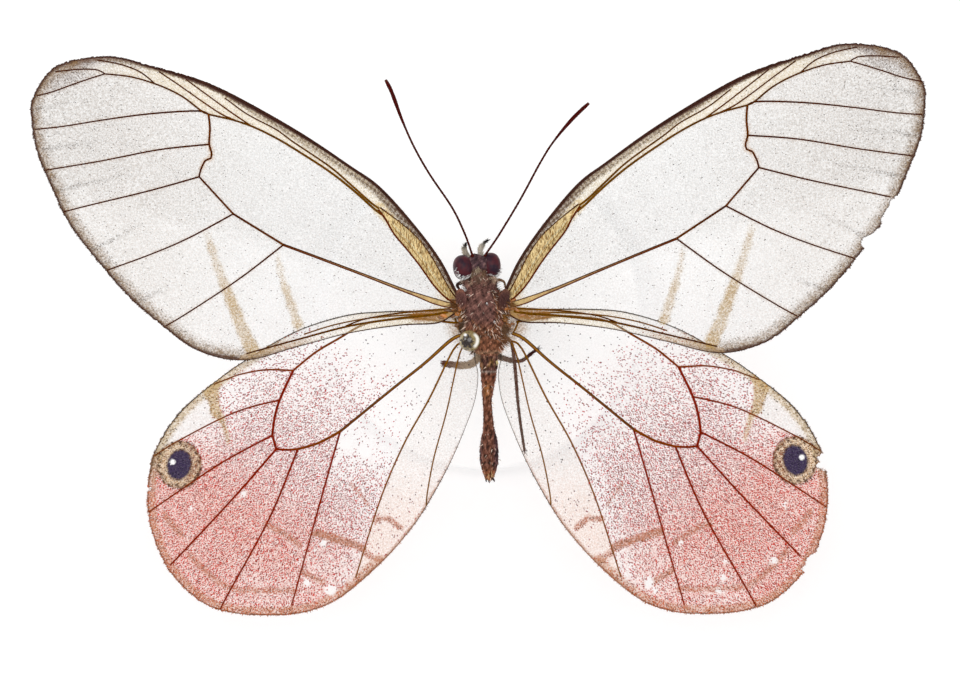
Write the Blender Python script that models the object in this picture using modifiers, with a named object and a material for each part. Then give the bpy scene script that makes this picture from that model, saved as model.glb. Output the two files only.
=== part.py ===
"""Rusted clearwing satyr, a spread butterfly on a plain display stand, at life size.

Frame: +Z up, head towards +Y, right wings towards +X, origin at the middle of the
stand's underside. The tables below are in millimetres; the helpers that make a mesh
turn them into metres.

Body parts are lofts along Y. A wing is one sheet whose veins are ridges in its upper
face: its outline and veins are given as distances out from and forward of its hinge.
"""

import math

import bmesh
import bpy
from mathutils import Matrix, Vector
from mathutils.geometry import delaunay_2d_cdt

MM = 0.001
GAP = 0.3  # between touching pieces

# Stand
BASE_RADIUS = 21.0
BASE_HEIGHT = 3.0
BASE_ROUNDING = 0.5
BASE_SIDES = 48
PIN_RADIUS = 0.8
PIN_SIDES = 20

# Body: height of its axis, and sections (y, centre x, centre z above the axis,
# half width, half height) from front to rear
AXIS_Z = 24.0
BODY_SIDES = 20
ABDOMEN_SIDES = 16
NECK = ((4.45, -0.65, -0.05, 1.15, 1.15), (3.65, -0.3, 0.0, 1.45, 1.4))
THORAX = (
    (3.35, -0.05, 0.0, 1.6, 1.55),
    (2.6, 0.0, 0.05, 2.3, 2.15),
    (1.6, 0.0, 0.1, 2.65, 2.45),
    (0.0, 0.0, 0.1, 2.8, 2.6),
    (-1.4, 0.05, 0.05, 2.7, 2.5),
    (-2.4, 0.1, 0.0, 2.5, 2.3),
    (-3.0, 0.15, 0.0, 2.25, 2.1),
)
METATHORAX = (
    (-3.3, 0.3, 0.0, 2.3, 2.05),
    (-4.1, 0.45, 0.0, 2.4, 2.05),
    (-4.8, 0.55, -0.05, 2.2, 1.85),
    (-5.25, 0.65, -0.05, 1.8, 1.6),
)
ABDOMEN = (
    (-5.55, 0.75, -0.1, 1.25, 1.3),
    (-6.6, 0.75, -0.15, 1.3, 1.35),
    (-8.8, 0.7, -0.3, 1.05, 1.2),
    (-11.4, 0.55, -0.5, 0.72, 0.95),
    (-13.4, 0.65, -0.65, 0.72, 0.95),
    (-15.3, 0.75, -0.8, 0.88, 1.05),
    (-16.8, 0.8, -0.9, 1.2, 1.3),
    (-18.6, 0.8, -1.05, 1.3, 1.4),
    (-20.2, 0.8, -1.15, 1.15, 1.2),
    (-21.3, 0.85, -1.2, 0.75, 0.8),
    (-21.9, 0.9, -1.2, 0.35, 0.4),
)
SECTION_STEP = 0.55
FINE_STEP = 0.1
ABDOMEN_RINGS = 9  # segments, each with a groove behind it
GROOVE_DEPTH = 0.07  # of the section's half width
RING_STATIONS = 3  # sections in each segment

# Head group, in its own frame: rolled and turned about the head's centre
HEAD_CENTRE = (-0.8, 5.95, -0.1)
HEAD_ROLL = math.radians(15)
HEAD_TURN = math.radians(5)
HEAD_HALF = (2.25, 1.45, 1.6)
HEAD_REAR = -1.15  # the flat face behind
HEAD_BLOCK = 4.0  # half the side of the block that cuts it
EYE_OUT = 1.95
EYE_HALF = (1.15, 1.5, 1.6)
DROP_CENTRE = (-1.75, -3.8, 1.45)
DROP_RADIUS = 1.2
TEGULA_CENTRE = (3.0, 1.9, 1.85)
TEGULA_HALF = (1.15, 1.0, 0.32)

# Antennae: points (x, y, height above the axis) from root to club tip
ANTENNA_RADIUS = 0.26
CLUB_RADIUS = 0.36
CLUB_START = 0.74  # of the length
CLUB_LEAN = 0.8  # under 1 puts the club's thickest place nearer its root
ANTENNA_STEP = 1.9
ANTENNAE = {
    "left": ((-1.42, 7.45, 0.85), (-2.35, 10.1, 1.5), (-4.0, 13.5, 2.0), (-6.9, 17.8, 2.6),
             (-8.95, 21.4, 3.0), (-10.5, 24.9, 3.3), (-11.8, 28.4, 3.5), (-12.6, 29.9, 3.6)),
    "right": ((0.4, 7.55, 0.35), (2.2, 10.2, 1.2), (4.9, 14.7, 1.9), (7.4, 19.3, 2.5),
              (9.1, 22.0, 2.8), (11.5, 24.9, 3.1), (13.6, 26.9, 3.3)),
}  # fmt: skip

# Palps, legs: (points, radii at the first, middle and last of them)
LIMB_STEP = 0.7
LIMBS = {
    "palp_left": (((-2.05, 7.35, -1.5), (-2.4, 7.95, -0.9), (-2.4, 8.5, -0.3), (-2.15, 8.95, 0.2)),
                  (0.38, 0.36, 0.2)),
    "palp_right": (((-0.3, 7.55, -1.65), (-0.35, 8.1, -1.1), (0.0, 8.8, -0.4), (0.6, 9.35, 0.2)),
                   (0.38, 0.36, 0.2)),
    "foreleg_left": (((-2.1, 3.95, -0.75), (-2.8, 3.85, -0.95), (-3.35, 3.5, -1.15), (-3.05, 2.95, -1.7)),
                     (0.3, 0.32, 0.25)),
    "foreleg_right": (((1.3, 4.0, -0.5), (2.05, 4.2, -0.5), (2.75, 3.9, -0.75), (2.9, 3.15, -1.3)),
                      (0.28, 0.28, 0.25)),
    "midleg_left_femur": (((-1.35, -1.5, -2.75), (-1.9, -0.3, -3.5), (-1.85, 1.6, -3.8)),
                          (0.4, 0.42, 0.3)),
    "midleg_left_tibia": (((-1.85, 1.95, -4.65), (-1.6, 0.2, -4.85), (-1.5, -2.4, -4.9), (-1.7, -4.2, -4.8)),
                          (0.28, 0.26, 0.25)),
    "midleg_right_femur": (((1.35, -1.75, -2.75), (1.3, -2.3, -3.3), (1.2, -4.2, -3.8), (1.9, -5.7, -3.85),
                            (3.75, -6.3, -3.5)), (0.42, 0.45, 0.35)),
    "midleg_right_tibia": (((4.25, -6.4, -3.35), (5.2, -6.25, -3.2), (6.3, -5.4, -3.1), (7.2, -4.75, -3.2)),
                           (0.28, 0.3, 0.26)),
    "hindleg_left_femur": (((-0.1, -4.1, -2.4), (-0.15, -4.3, -2.9), (-0.7, -5.9, -3.2), (-2.0, -6.9, -3.25),
                            (-5.3, -6.7, -3.0)), (0.4, 0.5, 0.4)),
    "hindleg_right_femur": (((1.7, -4.2, -2.15), (1.95, -3.95, -2.7), (2.6, -3.2, -3.2), (3.55, -3.75, -2.6)),
                            (0.36, 0.4, 0.3)),
    "hindleg_right_tibia": (((3.8, -4.25, -2.6), (4.15, -6.9, -2.5), (4.5, -11.2, -2.8)),
                            (0.28, 0.28, 0.27)),
    "hindleg_right_tarsus": (((4.53, -11.52, -2.82), (4.9, -14.6, -3.1), (5.45, -18.2, -3.3)),
                             (0.26, 0.25, 0.25)),
}  # fmt: skip

# Tongue: a flat coil under the head
COIL_CENTRE = (-1.2, 7.1, -2.85)
COIL_OUTER = 1.15
COIL_INNER = 0.42
COIL_TURNS = 1.5
COIL_RADIUS = 0.22
COIL_POINTS = 22

# Wings
WING_THICKNESS = 0.5
OUTLINE_STEP = 2.2
ROOT_STEP = 0.8
LEAST_STEP = 0.25
VEIN_STEP = 4.0
VEIN_RIDGE = 0.25
FORE_LEVEL = 0.8  # middle of the sheet at the hinge, above the body axis
HIND_LEVEL = -0.55
FORE_RISE = 0.055  # climb per distance out
HIND_RISE = 0.04
FORE_DROOP = 1.2  # how far the tip bends back down
HIND_DROOP = 1.0
WING_SPAN = 56.0
MERGE = 0.02

# Forewing outline from the front of its root round the tip to the rear of its root
FORE_OUTLINE = (
    (-1.0, -0.4), (0.0, 0.0), (2.3, 4.4), (5.6, 8.9), (10.1, 13.9), (14.0, 16.7), (20.5, 21.0),
    (28.3, 25.4), (33.5, 27.8), (39.9, 29.7), (44.9, 30.9), (50.1, 30.3), (52.9, 28.9),
    (55.0, 25.4), (55.1, 22.8), (54.5, 18.9), (52.7, 14.5), (50.3, 9.5), (46.7, 4.7),
    (42.5, -0.1), (38.0, -4.0), (33.5, -7.1), (27.6, -8.3), (20.5, -6.5), (14.0, -4.8),
    (7.5, -3.8), (2.7, -3.5), (0.4, -2.3), (-1.0, -2.0),
)  # fmt: skip
FORE_VEINS = {
    # name: (points, half width, ridge height)
    "swollen_base": (((1.2, 0.5), (3.9, 3.9), (6.2, 6.6), (8.3, 9.1), (10.0, 10.7)), 0.75, 0.4),
    "subcosta": (((17.6, 17.5), (21.8, 20.2), (27.0, 23.3), (29.6, 25.2)), 0.2, 0.2),
    "radius": (((10.0, 10.7), (14.0, 14.1), (19.2, 17.8), (24.4, 20.5), (28.3, 22.4),
                (32.3, 23.6), (34.8, 25.0), (39.4, 27.5), (43.2, 28.4), (45.7, 28.8),
                (49.8, 29.1)), 0.26, VEIN_RIDGE),
    "radius_fork": (((45.9, 28.6), (47.7, 28.1), (50.3, 27.5), (53.4, 26.3)), 0.2, 0.2),
    "radius_first": (((27.4, 22.9), (30.9, 25.4), (34.3, 27.4)), 0.18, 0.18),
    "radius_second": (((31.8, 24.2), (34.8, 26.4), (37.6, 28.2)), 0.18, 0.18),
    "radius_third": (((39.6, 27.8), (41.2, 29.0), (43.2, 29.6)), 0.18, 0.18),
    "crossvein": (((32.3, 23.6), (32.0, 20.9), (31.9, 18.4), (32.8, 17.5), (33.5, 15.4)),
                  0.24, VEIN_RIDGE),
    "media_first": (((32.3, 23.6), (37.4, 23.7), (46.4, 22.7), (54.2, 21.7)), 0.22, VEIN_RIDGE),
    "media_second": (((32.2, 19.6), (38.7, 18.9), (46.4, 17.4), (52.8, 16.4)), 0.22, VEIN_RIDGE),
    "media_third": (((33.5, 15.4), (39.9, 13.6), (47.7, 11.7), (50.3, 11.1)), 0.22, VEIN_RIDGE),
    "cubitus": (((1.0, -0.9), (6.2, 0.4), (12.7, 3.0), (20.5, 5.8), (22.6, 6.6), (29.1, 10.6),
                 (33.5, 15.4)), 0.3, 0.3),
    "cubitus_first": (((29.1, 10.6), (34.8, 7.5), (39.9, 5.3), (44.2, 3.7)), 0.22, VEIN_RIDGE),
    "cubitus_second": (((22.6, 6.6), (28.3, 2.2), (34.8, -2.1), (37.0, -3.4)), 0.22, VEIN_RIDGE),
    "anal": (((1.3, -2.1), (3.6, -2.5), (7.5, -2.9), (14.0, -3.9), (20.5, -5.6), (27.0, -7.3)),
             0.3, 0.3),
}  # fmt: skip

# Hindwing outline, likewise, down the inner margin to the rear of its root
HIND_OUTLINE = (
    (-2.0, 1.4), (0.2, 1.8), (4.5, 1.8), (9.7, 1.7), (14.3, 1.2), (20.1, -0.6), (25.3, -3.4),
    (30.5, -6.9), (35.7, -11.4), (38.9, -16.5), (39.8, -21.4), (39.3, -26.6), (37.0, -31.8),
    (33.1, -35.7), (29.2, -37.2), (24.6, -37.6), (19.5, -37.2), (14.9, -35.3), (9.7, -30.9),
    (5.8, -26.5), (3.2, -22.6), (0.6, -17.8), (-1.3, -13.4), (-2.6, -9.7), (-3.0, -6.5),
    (-2.6, -4.4), (-2.6, -3.2),
)  # fmt: skip
HIND_VEINS = {
    "subcosta": (((0.6, 1.1), (7.1, 1.1), (12.3, 0.8), (16.2, -0.1), (19.4, -1.2)), 0.24, VEIN_RIDGE),
    "radius": (((1.0, 0.2), (7.0, 0.4), (10.5, 0.1), (13.6, -1.0), (18.8, -4.2), (21.0, -6.0)),
               0.24, VEIN_RIDGE),
    "radius_branch": (((21.0, -6.0), (24.6, -5.8), (27.9, -6.4), (29.3, -6.9)), 0.2, 0.2),
    "crossvein": (((21.0, -6.0), (22.8, -9.9), (23.6, -14.3), (23.2, -16.2), (20.5, -16.2),
                   (16.9, -14.5), (15.0, -13.7)), 0.24, VEIN_RIDGE),
    "media_first": (((22.8, -9.9), (28.5, -11.3), (35.7, -14.9), (38.0, -16.1)), 0.22, VEIN_RIDGE),
    "media_second": (((23.6, -14.3), (30.5, -18.0), (38.5, -23.4)), 0.22, VEIN_RIDGE),
    "media_third": (((23.2, -16.2), (28.9, -22.6), (36.2, -30.4)), 0.22, VEIN_RIDGE),
    "cubitus_first": (((20.5, -16.2), (24.0, -24.9), (29.6, -35.2)), 0.22, VEIN_RIDGE),
    "cubitus_second": (((15.0, -13.7), (17.3, -22.3), (21.2, -36.4)), 0.22, VEIN_RIDGE),
    "cubitus": (((0.6, -1.9), (8.4, -8.6), (15.0, -13.7)), 0.3, 0.3),
    "anal_second": (((0.4, -3.0), (3.3, -9.5), (6.7, -15.6), (9.7, -22.7), (12.9, -32.4)),
                    0.22, VEIN_RIDGE),
    "anal_third": (((-0.6, -3.8), (1.1, -11.3), (2.7, -17.1), (3.5, -21.4)), 0.2, 0.2),
}  # fmt: skip

INNER_FIELD = 20.0  # how far out a wing's inner field is spread

# Each wing: its side, hinge (x, y), turn of the tip forwards, growth, how far its inner
# field is spread outwards at the hinge, and which table it follows
WINGS = {
    "forewing_left": (-1, (-3.25, 2.1), 0.0, 1.0, 0.0, "fore"),
    "forewing_right": (1, (2.6, 2.15), math.radians(1.86), 1.004, 0.0, "fore"),
    "hindwing_left": (-1, (-3.65, -1.7), 0.0, 1.0, 0.0, "hind"),
    "hindwing_right": (1, (4.1, -1.55), math.radians(0.97), 1.01, 0.7, "hind"),
}

# Colours (red, green, blue), roughness
FINISHES = {
    "horn": ((0.06, 0.018, 0.012), 0.4),
    "hair": ((0.075, 0.03, 0.02), 0.85),
    "pale_hair": ((0.45, 0.4, 0.34), 0.85),
    "eye": ((0.055, 0.012, 0.018), 0.25),
    "clear_wing": ((0.82, 0.8, 0.76), 0.35),
    "pink_wing": ((0.84, 0.5, 0.48), 0.45),
    "drop": ((0.75, 0.72, 0.62), 0.08),
    "stand": ((0.86, 0.86, 0.84), 0.4),
    "steel": ((0.6, 0.6, 0.6), 0.3),
}


def clear_scene():
    """Remove what an earlier run or the startup file left."""
    for thing in list(bpy.data.objects):
        bpy.data.objects.remove(thing)


def make_collections():
    """The collection of the model's parts and the one of its cutters."""
    parts = bpy.data.collections.new("rusted_clearwing_satyr")
    cutters = bpy.data.collections.new("cutters")
    for group in (parts, cutters):
        bpy.context.scene.collection.children.link(group)
    return parts, cutters


def make_material(node, finish):
    """A Principled material of one finish, owned by one node."""
    (red, green, blue), roughness = FINISHES[finish]
    material = bpy.data.materials.new(node)
    material.use_nodes = True
    shader = material.node_tree.nodes["Principled BSDF"]
    shader.inputs["Base Color"].default_value = (red, green, blue, 1.0)
    shader.inputs["Roughness"].default_value = roughness
    shader.inputs["Metallic"].default_value = 1.0 if finish == "steel" else 0.0
    return material


def add_node(name, mesh, group, finish):
    """Put a mesh in the scene as one named piece."""
    piece = bpy.data.objects.new(name, mesh)
    mesh.materials.append(make_material(name, finish))
    group.objects.link(piece)
    return piece


def smooth(mesh, angle=40):
    """Shade a round mesh smooth, with its sharp edges kept."""
    mesh.shade_smooth()
    mesh.set_sharp_from_angle(angle=math.radians(angle))


def curve_through(points, step, closed=False):
    """A smooth curve through control points of any dimension, read about every step."""
    count = len(points)
    spans = count if closed else count - 1
    found = []
    for index in range(spans):
        if closed:
            knots = [points[(index + shift) % count] for shift in (-1, 0, 1, 2)]
        else:
            knots = [points[min(max(index + shift, 0), count - 1)] for shift in (-1, 0, 1, 2)]
        before, start, end, after = (Vector(knot) for knot in knots)
        pieces = max(1, round((end - start).length / step))
        for part in range(pieces):
            t = part / pieces
            found.append(
                0.5
                * (
                    2 * start
                    + (end - before) * t
                    + (2 * before - 5 * start + 4 * end - after) * t * t
                    + (3 * start - before - 3 * end + after) * t**3
                )
            )
    if not closed:
        found.append(Vector(points[-1]))
    return found


def loft_mesh(name, sections, sides=BODY_SIDES, margin=0.0):
    """A closed body through elliptical sections (y, x, z, half width, half height)."""
    work = bmesh.new()
    rings = []
    for y, x, z, wide, high in sections:
        ring = []
        for side in range(sides):
            angle = 2 * math.pi * side / sides
            place = Vector((
                x + (wide + margin) * math.cos(angle),
                y,
                AXIS_Z + z + (high + margin) * math.sin(angle),
            ))
            ring.append(work.verts.new(place * MM))
        rings.append(ring)
    work.faces.new(rings[0])
    work.faces.new(reversed(rings[-1]))
    for front, rear in zip(rings, rings[1:], strict=False):
        for side in range(sides):
            after = (side + 1) % sides
            work.faces.new((front[side], rear[side], rear[after], front[after]))
    bmesh.ops.recalc_face_normals(work, faces=work.faces)
    mesh = bpy.data.meshes.new(name)
    work.to_mesh(mesh)
    work.free()
    smooth(mesh)
    return mesh


def ellipsoid_mesh(name, half, matrix, segments=20, rings=12):
    """A closed ellipsoid with the given half sizes, placed by a matrix in millimetres."""
    work = bmesh.new()
    bmesh.ops.create_uvsphere(work, u_segments=segments, v_segments=rings, radius=1.0)
    scaled = matrix @ Matrix.Diagonal((*half, 1.0))
    for vert in work.verts:
        vert.co = (scaled @ vert.co) * MM
    mesh = bpy.data.meshes.new(name)
    work.to_mesh(mesh)
    work.free()
    smooth(mesh)
    return mesh


def at_axis(x, y, z):
    """The matrix that moves a shape to a place given with its height above the body axis."""
    return Matrix.Translation((x, y, AXIS_Z + z))


def head_frame():
    """The head's own frame: its centre, turned and rolled."""
    return at_axis(*HEAD_CENTRE) @ Matrix.Rotation(HEAD_TURN, 4, "Z") @ Matrix.Rotation(HEAD_ROLL, 4, "Y")


def eye_frame(side):
    """Centre of one eye in the head."""
    return head_frame() @ Matrix.Translation((side * EYE_OUT, 0.0, 0.0))


def cut(piece, cutter_mesh, cutters):
    """Take a hidden cutter's shape away from a piece."""
    cutter = bpy.data.objects.new(cutter_mesh.name, cutter_mesh)
    cutter.hide_render = True
    cutter.display_type = "WIRE"
    cutters.objects.link(cutter)
    change = piece.modifiers.new(cutter_mesh.name, "BOOLEAN")
    change.operation = "DIFFERENCE"
    change.object = cutter


def segment_sections(stations):
    """The abdomen's sections, pulled in a little behind each segment."""
    count = ABDOMEN_RINGS * RING_STATIONS
    smooth_run = curve_through(stations, FINE_STEP)
    front, rear = stations[0][0], stations[-1][0]
    found = []
    for index in range(count + 1):
        y = front + (rear - front) * index / count
        nearest = min(smooth_run, key=lambda section: abs(section[0] - y))
        pinch = GROOVE_DEPTH if index % RING_STATIONS == 0 and 0 < index < count else 0.0
        wide, high = (size * (1 - pinch) for size in nearest[3:5])
        found.append((nearest[0], nearest[1], nearest[2], wide, high))
    return found


def make_body(parts, cutters):
    """Neck, thorax, metathorax and abdomen, with room for the glued drop."""
    add_node("neck", loft_mesh("neck", NECK), parts, "hair")
    thorax = add_node("thorax", loft_mesh("thorax", curve_through(THORAX, SECTION_STEP)), parts, "hair")
    rear = loft_mesh("metathorax", curve_through(METATHORAX, SECTION_STEP))
    metathorax = add_node("metathorax", rear, parts, "hair")
    rings = loft_mesh("abdomen", segment_sections(ABDOMEN), ABDOMEN_SIDES)
    add_node("abdomen", rings, parts, "hair")
    for piece in (thorax, metathorax):
        room = (DROP_RADIUS + GAP,) * 3
        cut(piece, ellipsoid_mesh(f"{piece.name}_drop_room", room, at_axis(*DROP_CENTRE)), cutters)
    drop = ellipsoid_mesh("glue_drop", (DROP_RADIUS,) * 3, at_axis(*DROP_CENTRE), 16, 10)
    add_node("glue_drop", drop, parts, "drop")


def make_head(parts, cutters):
    """The head between its two eyes, which sit in hollows in its sides."""
    head = add_node("head", ellipsoid_mesh("head", HEAD_HALF, head_frame()), parts, "hair")
    for name, side in (("left", -1), ("right", 1)):
        eye = ellipsoid_mesh(f"eye_{name}", EYE_HALF, eye_frame(side))
        add_node(f"eye_{name}", eye, parts, "eye")
        room = tuple(size + GAP for size in EYE_HALF)
        cut(head, ellipsoid_mesh(f"eye_{name}_room", room, eye_frame(side)), cutters)
    block = bmesh.new()
    bmesh.ops.create_cube(block, size=2 * HEAD_BLOCK)
    for vert in block.verts:
        vert.co = (head_frame() @ (vert.co + Vector((0, HEAD_REAR - HEAD_BLOCK, 0)))) * MM
    mesh = bpy.data.meshes.new("head_rear")
    block.to_mesh(mesh)
    block.free()
    cut(head, mesh, cutters)


def make_tube(name, points, radii, parts, finish, resolution=2):
    """A round limb: a capped curve through points, with a radius at each."""
    line = bpy.data.curves.new(name, "CURVE")
    line.dimensions = "3D"
    line.bevel_depth = MM
    line.bevel_resolution = resolution
    line.use_fill_caps = True
    run = line.splines.new("POLY")
    run.points.add(len(points) - 1)
    for knot, place, radius in zip(run.points, points, radii, strict=True):
        x, y, z = place
        knot.co = (x * MM, y * MM, (AXIS_Z + z) * MM, 1.0)
        knot.radius = radius
    line.materials.append(make_material(name, finish))
    parts.objects.link(bpy.data.objects.new(name, line))


def taper(radii, t):
    """The radius at a fraction of a limb's length, from its three stated radii."""
    first, middle, last = radii
    if t < 0.5:
        return first + (middle - first) * 2 * t
    return middle + (last - middle) * (2 * t - 1)


def make_limbs(parts):
    """Palps and legs."""
    pale = ("palp_left", "palp_right", "hindleg_left_femur", "midleg_right_femur")
    for name, (points, radii) in LIMBS.items():
        run = curve_through(points, LIMB_STEP)
        sizes = [taper(radii, index / (len(run) - 1)) for index in range(len(run))]
        make_tube(name, run, sizes, parts, "pale_hair" if name in pale else "horn")


def make_antennae(parts):
    """Two feelers that thicken into a slim club."""
    for side, points in ANTENNAE.items():
        run = curve_through(points, ANTENNA_STEP)
        sizes = []
        for index in range(len(run)):
            t = index / (len(run) - 1)
            along_club = max(0.0, (t - CLUB_START) / (1 - CLUB_START))
            swell = math.sin(math.pi * along_club**CLUB_LEAN)
            sizes.append(ANTENNA_RADIUS + (CLUB_RADIUS - ANTENNA_RADIUS) * swell)
        make_tube(f"antenna_{side}", run, sizes, parts, "horn", 1)


def make_tongue(parts):
    """The coiled tongue, upright between the palps."""
    x, y, z = COIL_CENTRE
    run = []
    for index in range(COIL_POINTS):
        t = index / (COIL_POINTS - 1)
        reach = COIL_OUTER + (COIL_INNER - COIL_OUTER) * t
        angle = math.pi / 2 - 2 * math.pi * COIL_TURNS * t
        run.append((x, y + reach * math.cos(angle), z + reach * math.sin(angle)))
    make_tube("proboscis", run, [COIL_RADIUS] * COIL_POINTS, parts, "horn", 1)


def body_edge(y, side):
    """How far the body reaches to one side at y, with the gap added."""
    reach = 0.0
    for stations in (THORAX, METATHORAX, ABDOMEN):
        for section, after in zip(stations, stations[1:], strict=False):
            if after[0] - GAP <= y <= section[0] + GAP:
                t = min(max((section[0] - y) / (section[0] - after[0]), 0.0), 1.0)
                centre = section[1] + (after[1] - section[1]) * t
                wide = section[3] + (after[3] - section[3]) * t
                reach = max(reach, side * centre + wide)
    return reach + GAP if reach else -WING_SPAN


def to_world(wing, out, fore):
    """The plan position of a point of a wing."""
    side, (x, y), turn, growth, spread, _ = WINGS[wing]
    out += spread * max(0.0, 1 - out / INNER_FIELD)
    along = growth * (out * math.cos(turn) - fore * math.sin(turn))
    ahead = growth * (out * math.sin(turn) + fore * math.cos(turn))
    return x + side * along, y + ahead


def from_world(wing, x, y):
    """The wing's own measures of a plan position."""
    side, (root_x, root_y), turn, growth, spread, _ = WINGS[wing]
    along, ahead = side * (x - root_x) / growth, (y - root_y) / growth
    out = along * math.cos(turn) + ahead * math.sin(turn)
    if out < INNER_FIELD:
        out = (out - spread) / (1 - spread / INNER_FIELD)
    return out, ahead * math.cos(turn) - along * math.sin(turn)


def beside_body(wing, out, fore):
    """A wing's point, pushed out where it would come closer to the body than the gap."""
    side = WINGS[wing][0]
    x, y = to_world(wing, out, fore)
    return Vector(from_world(wing, side * max(side * x, body_edge(y, side)), y))


def wing_level(kind, out):
    """Height of the middle of a wing's sheet: it climbs outwards and bends back down."""
    level, rise, droop = (
        (FORE_LEVEL, FORE_RISE, FORE_DROOP) if kind == "fore" else (HIND_LEVEL, HIND_RISE, HIND_DROOP)
    )
    return level + rise * out - droop * (max(out, 0.0) / WING_SPAN) ** 2


def wing_outline(wing):
    """A wing's outline in its own measures, with its root edge laid along the body."""
    table = FORE_OUTLINE if WINGS[wing][5] == "fore" else HIND_OUTLINE
    rim = curve_through(table, OUTLINE_STEP)
    rear, front = Vector(table[-1]), Vector(table[0])
    pieces = max(2, round((front - rear).length / ROOT_STEP))
    rim += [rear.lerp(front, part / pieces) for part in range(1, pieces)]
    placed = []
    for point in rim:
        moved = beside_body(wing, *point)
        if not placed or (moved - placed[-1]).length > LEAST_STEP:
            placed.append(moved)
    return placed


def vein_lines(table):
    """Each vein's middle line, half width and ridge height."""
    return [(curve_through(points, VEIN_STEP), wide, high) for points, wide, high in table.values()]


def ridge_height(place, veins):
    """How far the veins lift the upper face at a point."""
    lift = 0.0
    for line, wide, high in veins:
        for start, end in zip(line, line[1:], strict=False):
            along = end - start
            t = min(max((place - start).dot(along) / along.length_squared, 0.0), 1.0)
            away = (place - start - along * t).length
            lift = max(lift, high * (1 - away / wide))
    return lift


def beside_line(line, wide):
    """The two edges of a vein's band, joined round both of its ends."""
    left, right = [], []
    for index, place in enumerate(line):
        ahead = line[min(index + 1, len(line) - 1)] - line[max(index - 1, 0)]
        across = Vector((-ahead.y, ahead.x)).normalized() * wide
        left.append(place + across)
        right.append(place - across)
    tip = line[-1] + (line[-1] - line[-2]).normalized() * wide
    root = line[0] - (line[1] - line[0]).normalized() * wide
    return [root, *left, tip, *reversed(right)]


def make_wing(wing, parts):
    """One wing: a sheet split into the same triangles on both faces, veins raised on top."""
    kind = WINGS[wing][5]
    veins = vein_lines(FORE_VEINS if kind == "fore" else HIND_VEINS)
    points = wing_outline(wing)
    rim = list(range(len(points)))
    edges = []
    for line, wide, _ in veins:
        for run, closed in ((line, False), (beside_line(line, wide), True)):
            first = len(points)
            points += run
            edges += [(first + index, first + index + 1) for index in range(len(run) - 1)]
            if closed:
                edges.append((len(points) - 1, first))
    flat, _, faces, *_ = delaunay_2d_cdt(points, edges, [rim], 1, MERGE)

    side = WINGS[wing][0]
    work = bmesh.new()
    upper, lower = {}, {}
    for index in sorted({corner for face in faces for corner in face}):
        out, fore = flat[index]
        x, y = to_world(wing, out, fore)
        middle = AXIS_Z + wing_level(kind, out)
        top = middle + WING_THICKNESS / 2 + ridge_height(flat[index], veins)
        upper[index] = work.verts.new(Vector((x, y, top)) * MM)
        lower[index] = work.verts.new(Vector((x, y, middle - WING_THICKNESS / 2)) * MM)
    used = set()
    for face in faces:
        for start, end in zip(face, (*face[1:], face[0]), strict=True):
            used.add((start, end))
    for face in faces:
        turned = face if side > 0 else tuple(reversed(face))
        work.faces.new([upper[corner] for corner in turned])
        work.faces.new([lower[corner] for corner in reversed(turned)])
    for start, end in sorted(used):
        if (end, start) not in used:
            work.faces.new((upper[start], lower[start], lower[end]))
            work.faces.new((upper[start], lower[end], upper[end]))
    bmesh.ops.recalc_face_normals(work, faces=work.faces)
    mesh = bpy.data.meshes.new(wing)
    work.to_mesh(mesh)
    work.free()
    add_node(wing, mesh, parts, "clear_wing" if kind == "fore" else "pink_wing")


def make_tegulae(parts, cutters):
    """The two scale-like covers over the forewing roots."""
    x, y, z = TEGULA_CENTRE
    for name, side in (("left", -1), ("right", 1)):
        tegula = ellipsoid_mesh(f"tegula_{name}", TEGULA_HALF, at_axis(side * x, y, z), 16, 8)
        piece = add_node(f"tegula_{name}", tegula, parts, "hair")
        room = loft_mesh(f"tegula_{name}_room", curve_through(THORAX, SECTION_STEP), margin=GAP)
        cut(piece, room, cutters)


def make_stand(parts):
    """A flat round base and one short rod up to the thorax."""
    bpy.ops.mesh.primitive_cylinder_add(
        vertices=BASE_SIDES,
        radius=BASE_RADIUS * MM,
        depth=BASE_HEIGHT * MM,
        location=(0, 0, BASE_HEIGHT / 2 * MM),
    )
    base = bpy.context.object
    rounding = base.modifiers.new("rounding", "BEVEL")
    rounding.width = BASE_ROUNDING * MM
    rounding.segments = 1
    under_thorax = AXIS_Z + THORAX[3][2] - THORAX[3][4]
    foot, head = BASE_HEIGHT + GAP, under_thorax - GAP
    bpy.ops.mesh.primitive_cylinder_add(
        vertices=PIN_SIDES,
        radius=PIN_RADIUS * MM,
        depth=(head - foot) * MM,
        location=(0, 0, (foot + head) / 2 * MM),
    )
    pin = bpy.context.object
    for piece, name, finish in ((base, "stand_base", "stand"), (pin, "stand_pin", "steel")):
        piece.name = name
        piece.data.name = name
        piece.data.materials.append(make_material(name, finish))
        for group in list(piece.users_collection):
            group.objects.unlink(piece)
        parts.objects.link(piece)
        smooth(piece.data)


def main():
    """Build every node."""
    clear_scene()
    parts, cutters = make_collections()
    make_stand(parts)
    make_body(parts, cutters)
    make_head(parts, cutters)
    make_antennae(parts)
    make_limbs(parts)
    make_tongue(parts)
    for wing in WINGS:
        make_wing(wing, parts)
    make_tegulae(parts, cutters)


main()
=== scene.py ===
"""Rusted clearwing satyr on its display stand: the looks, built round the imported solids.

The tables are in millimetres, in the solids' own frame: +Z up, head towards +Y, right
wings towards +X, origin under the middle of the stand. Meshes are made in metres.
Wings are described by distances out from and forward of their hinge.
"""

import logging
import math
from collections.abc import Callable, Sequence
from dataclasses import dataclass, field, replace
from enum import Enum

import bpy
import numpy as np
from mathutils import Matrix, Vector
from mathutils.bvhtree import BVHTree
from mathutils.geometry import delaunay_2d_cdt


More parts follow.
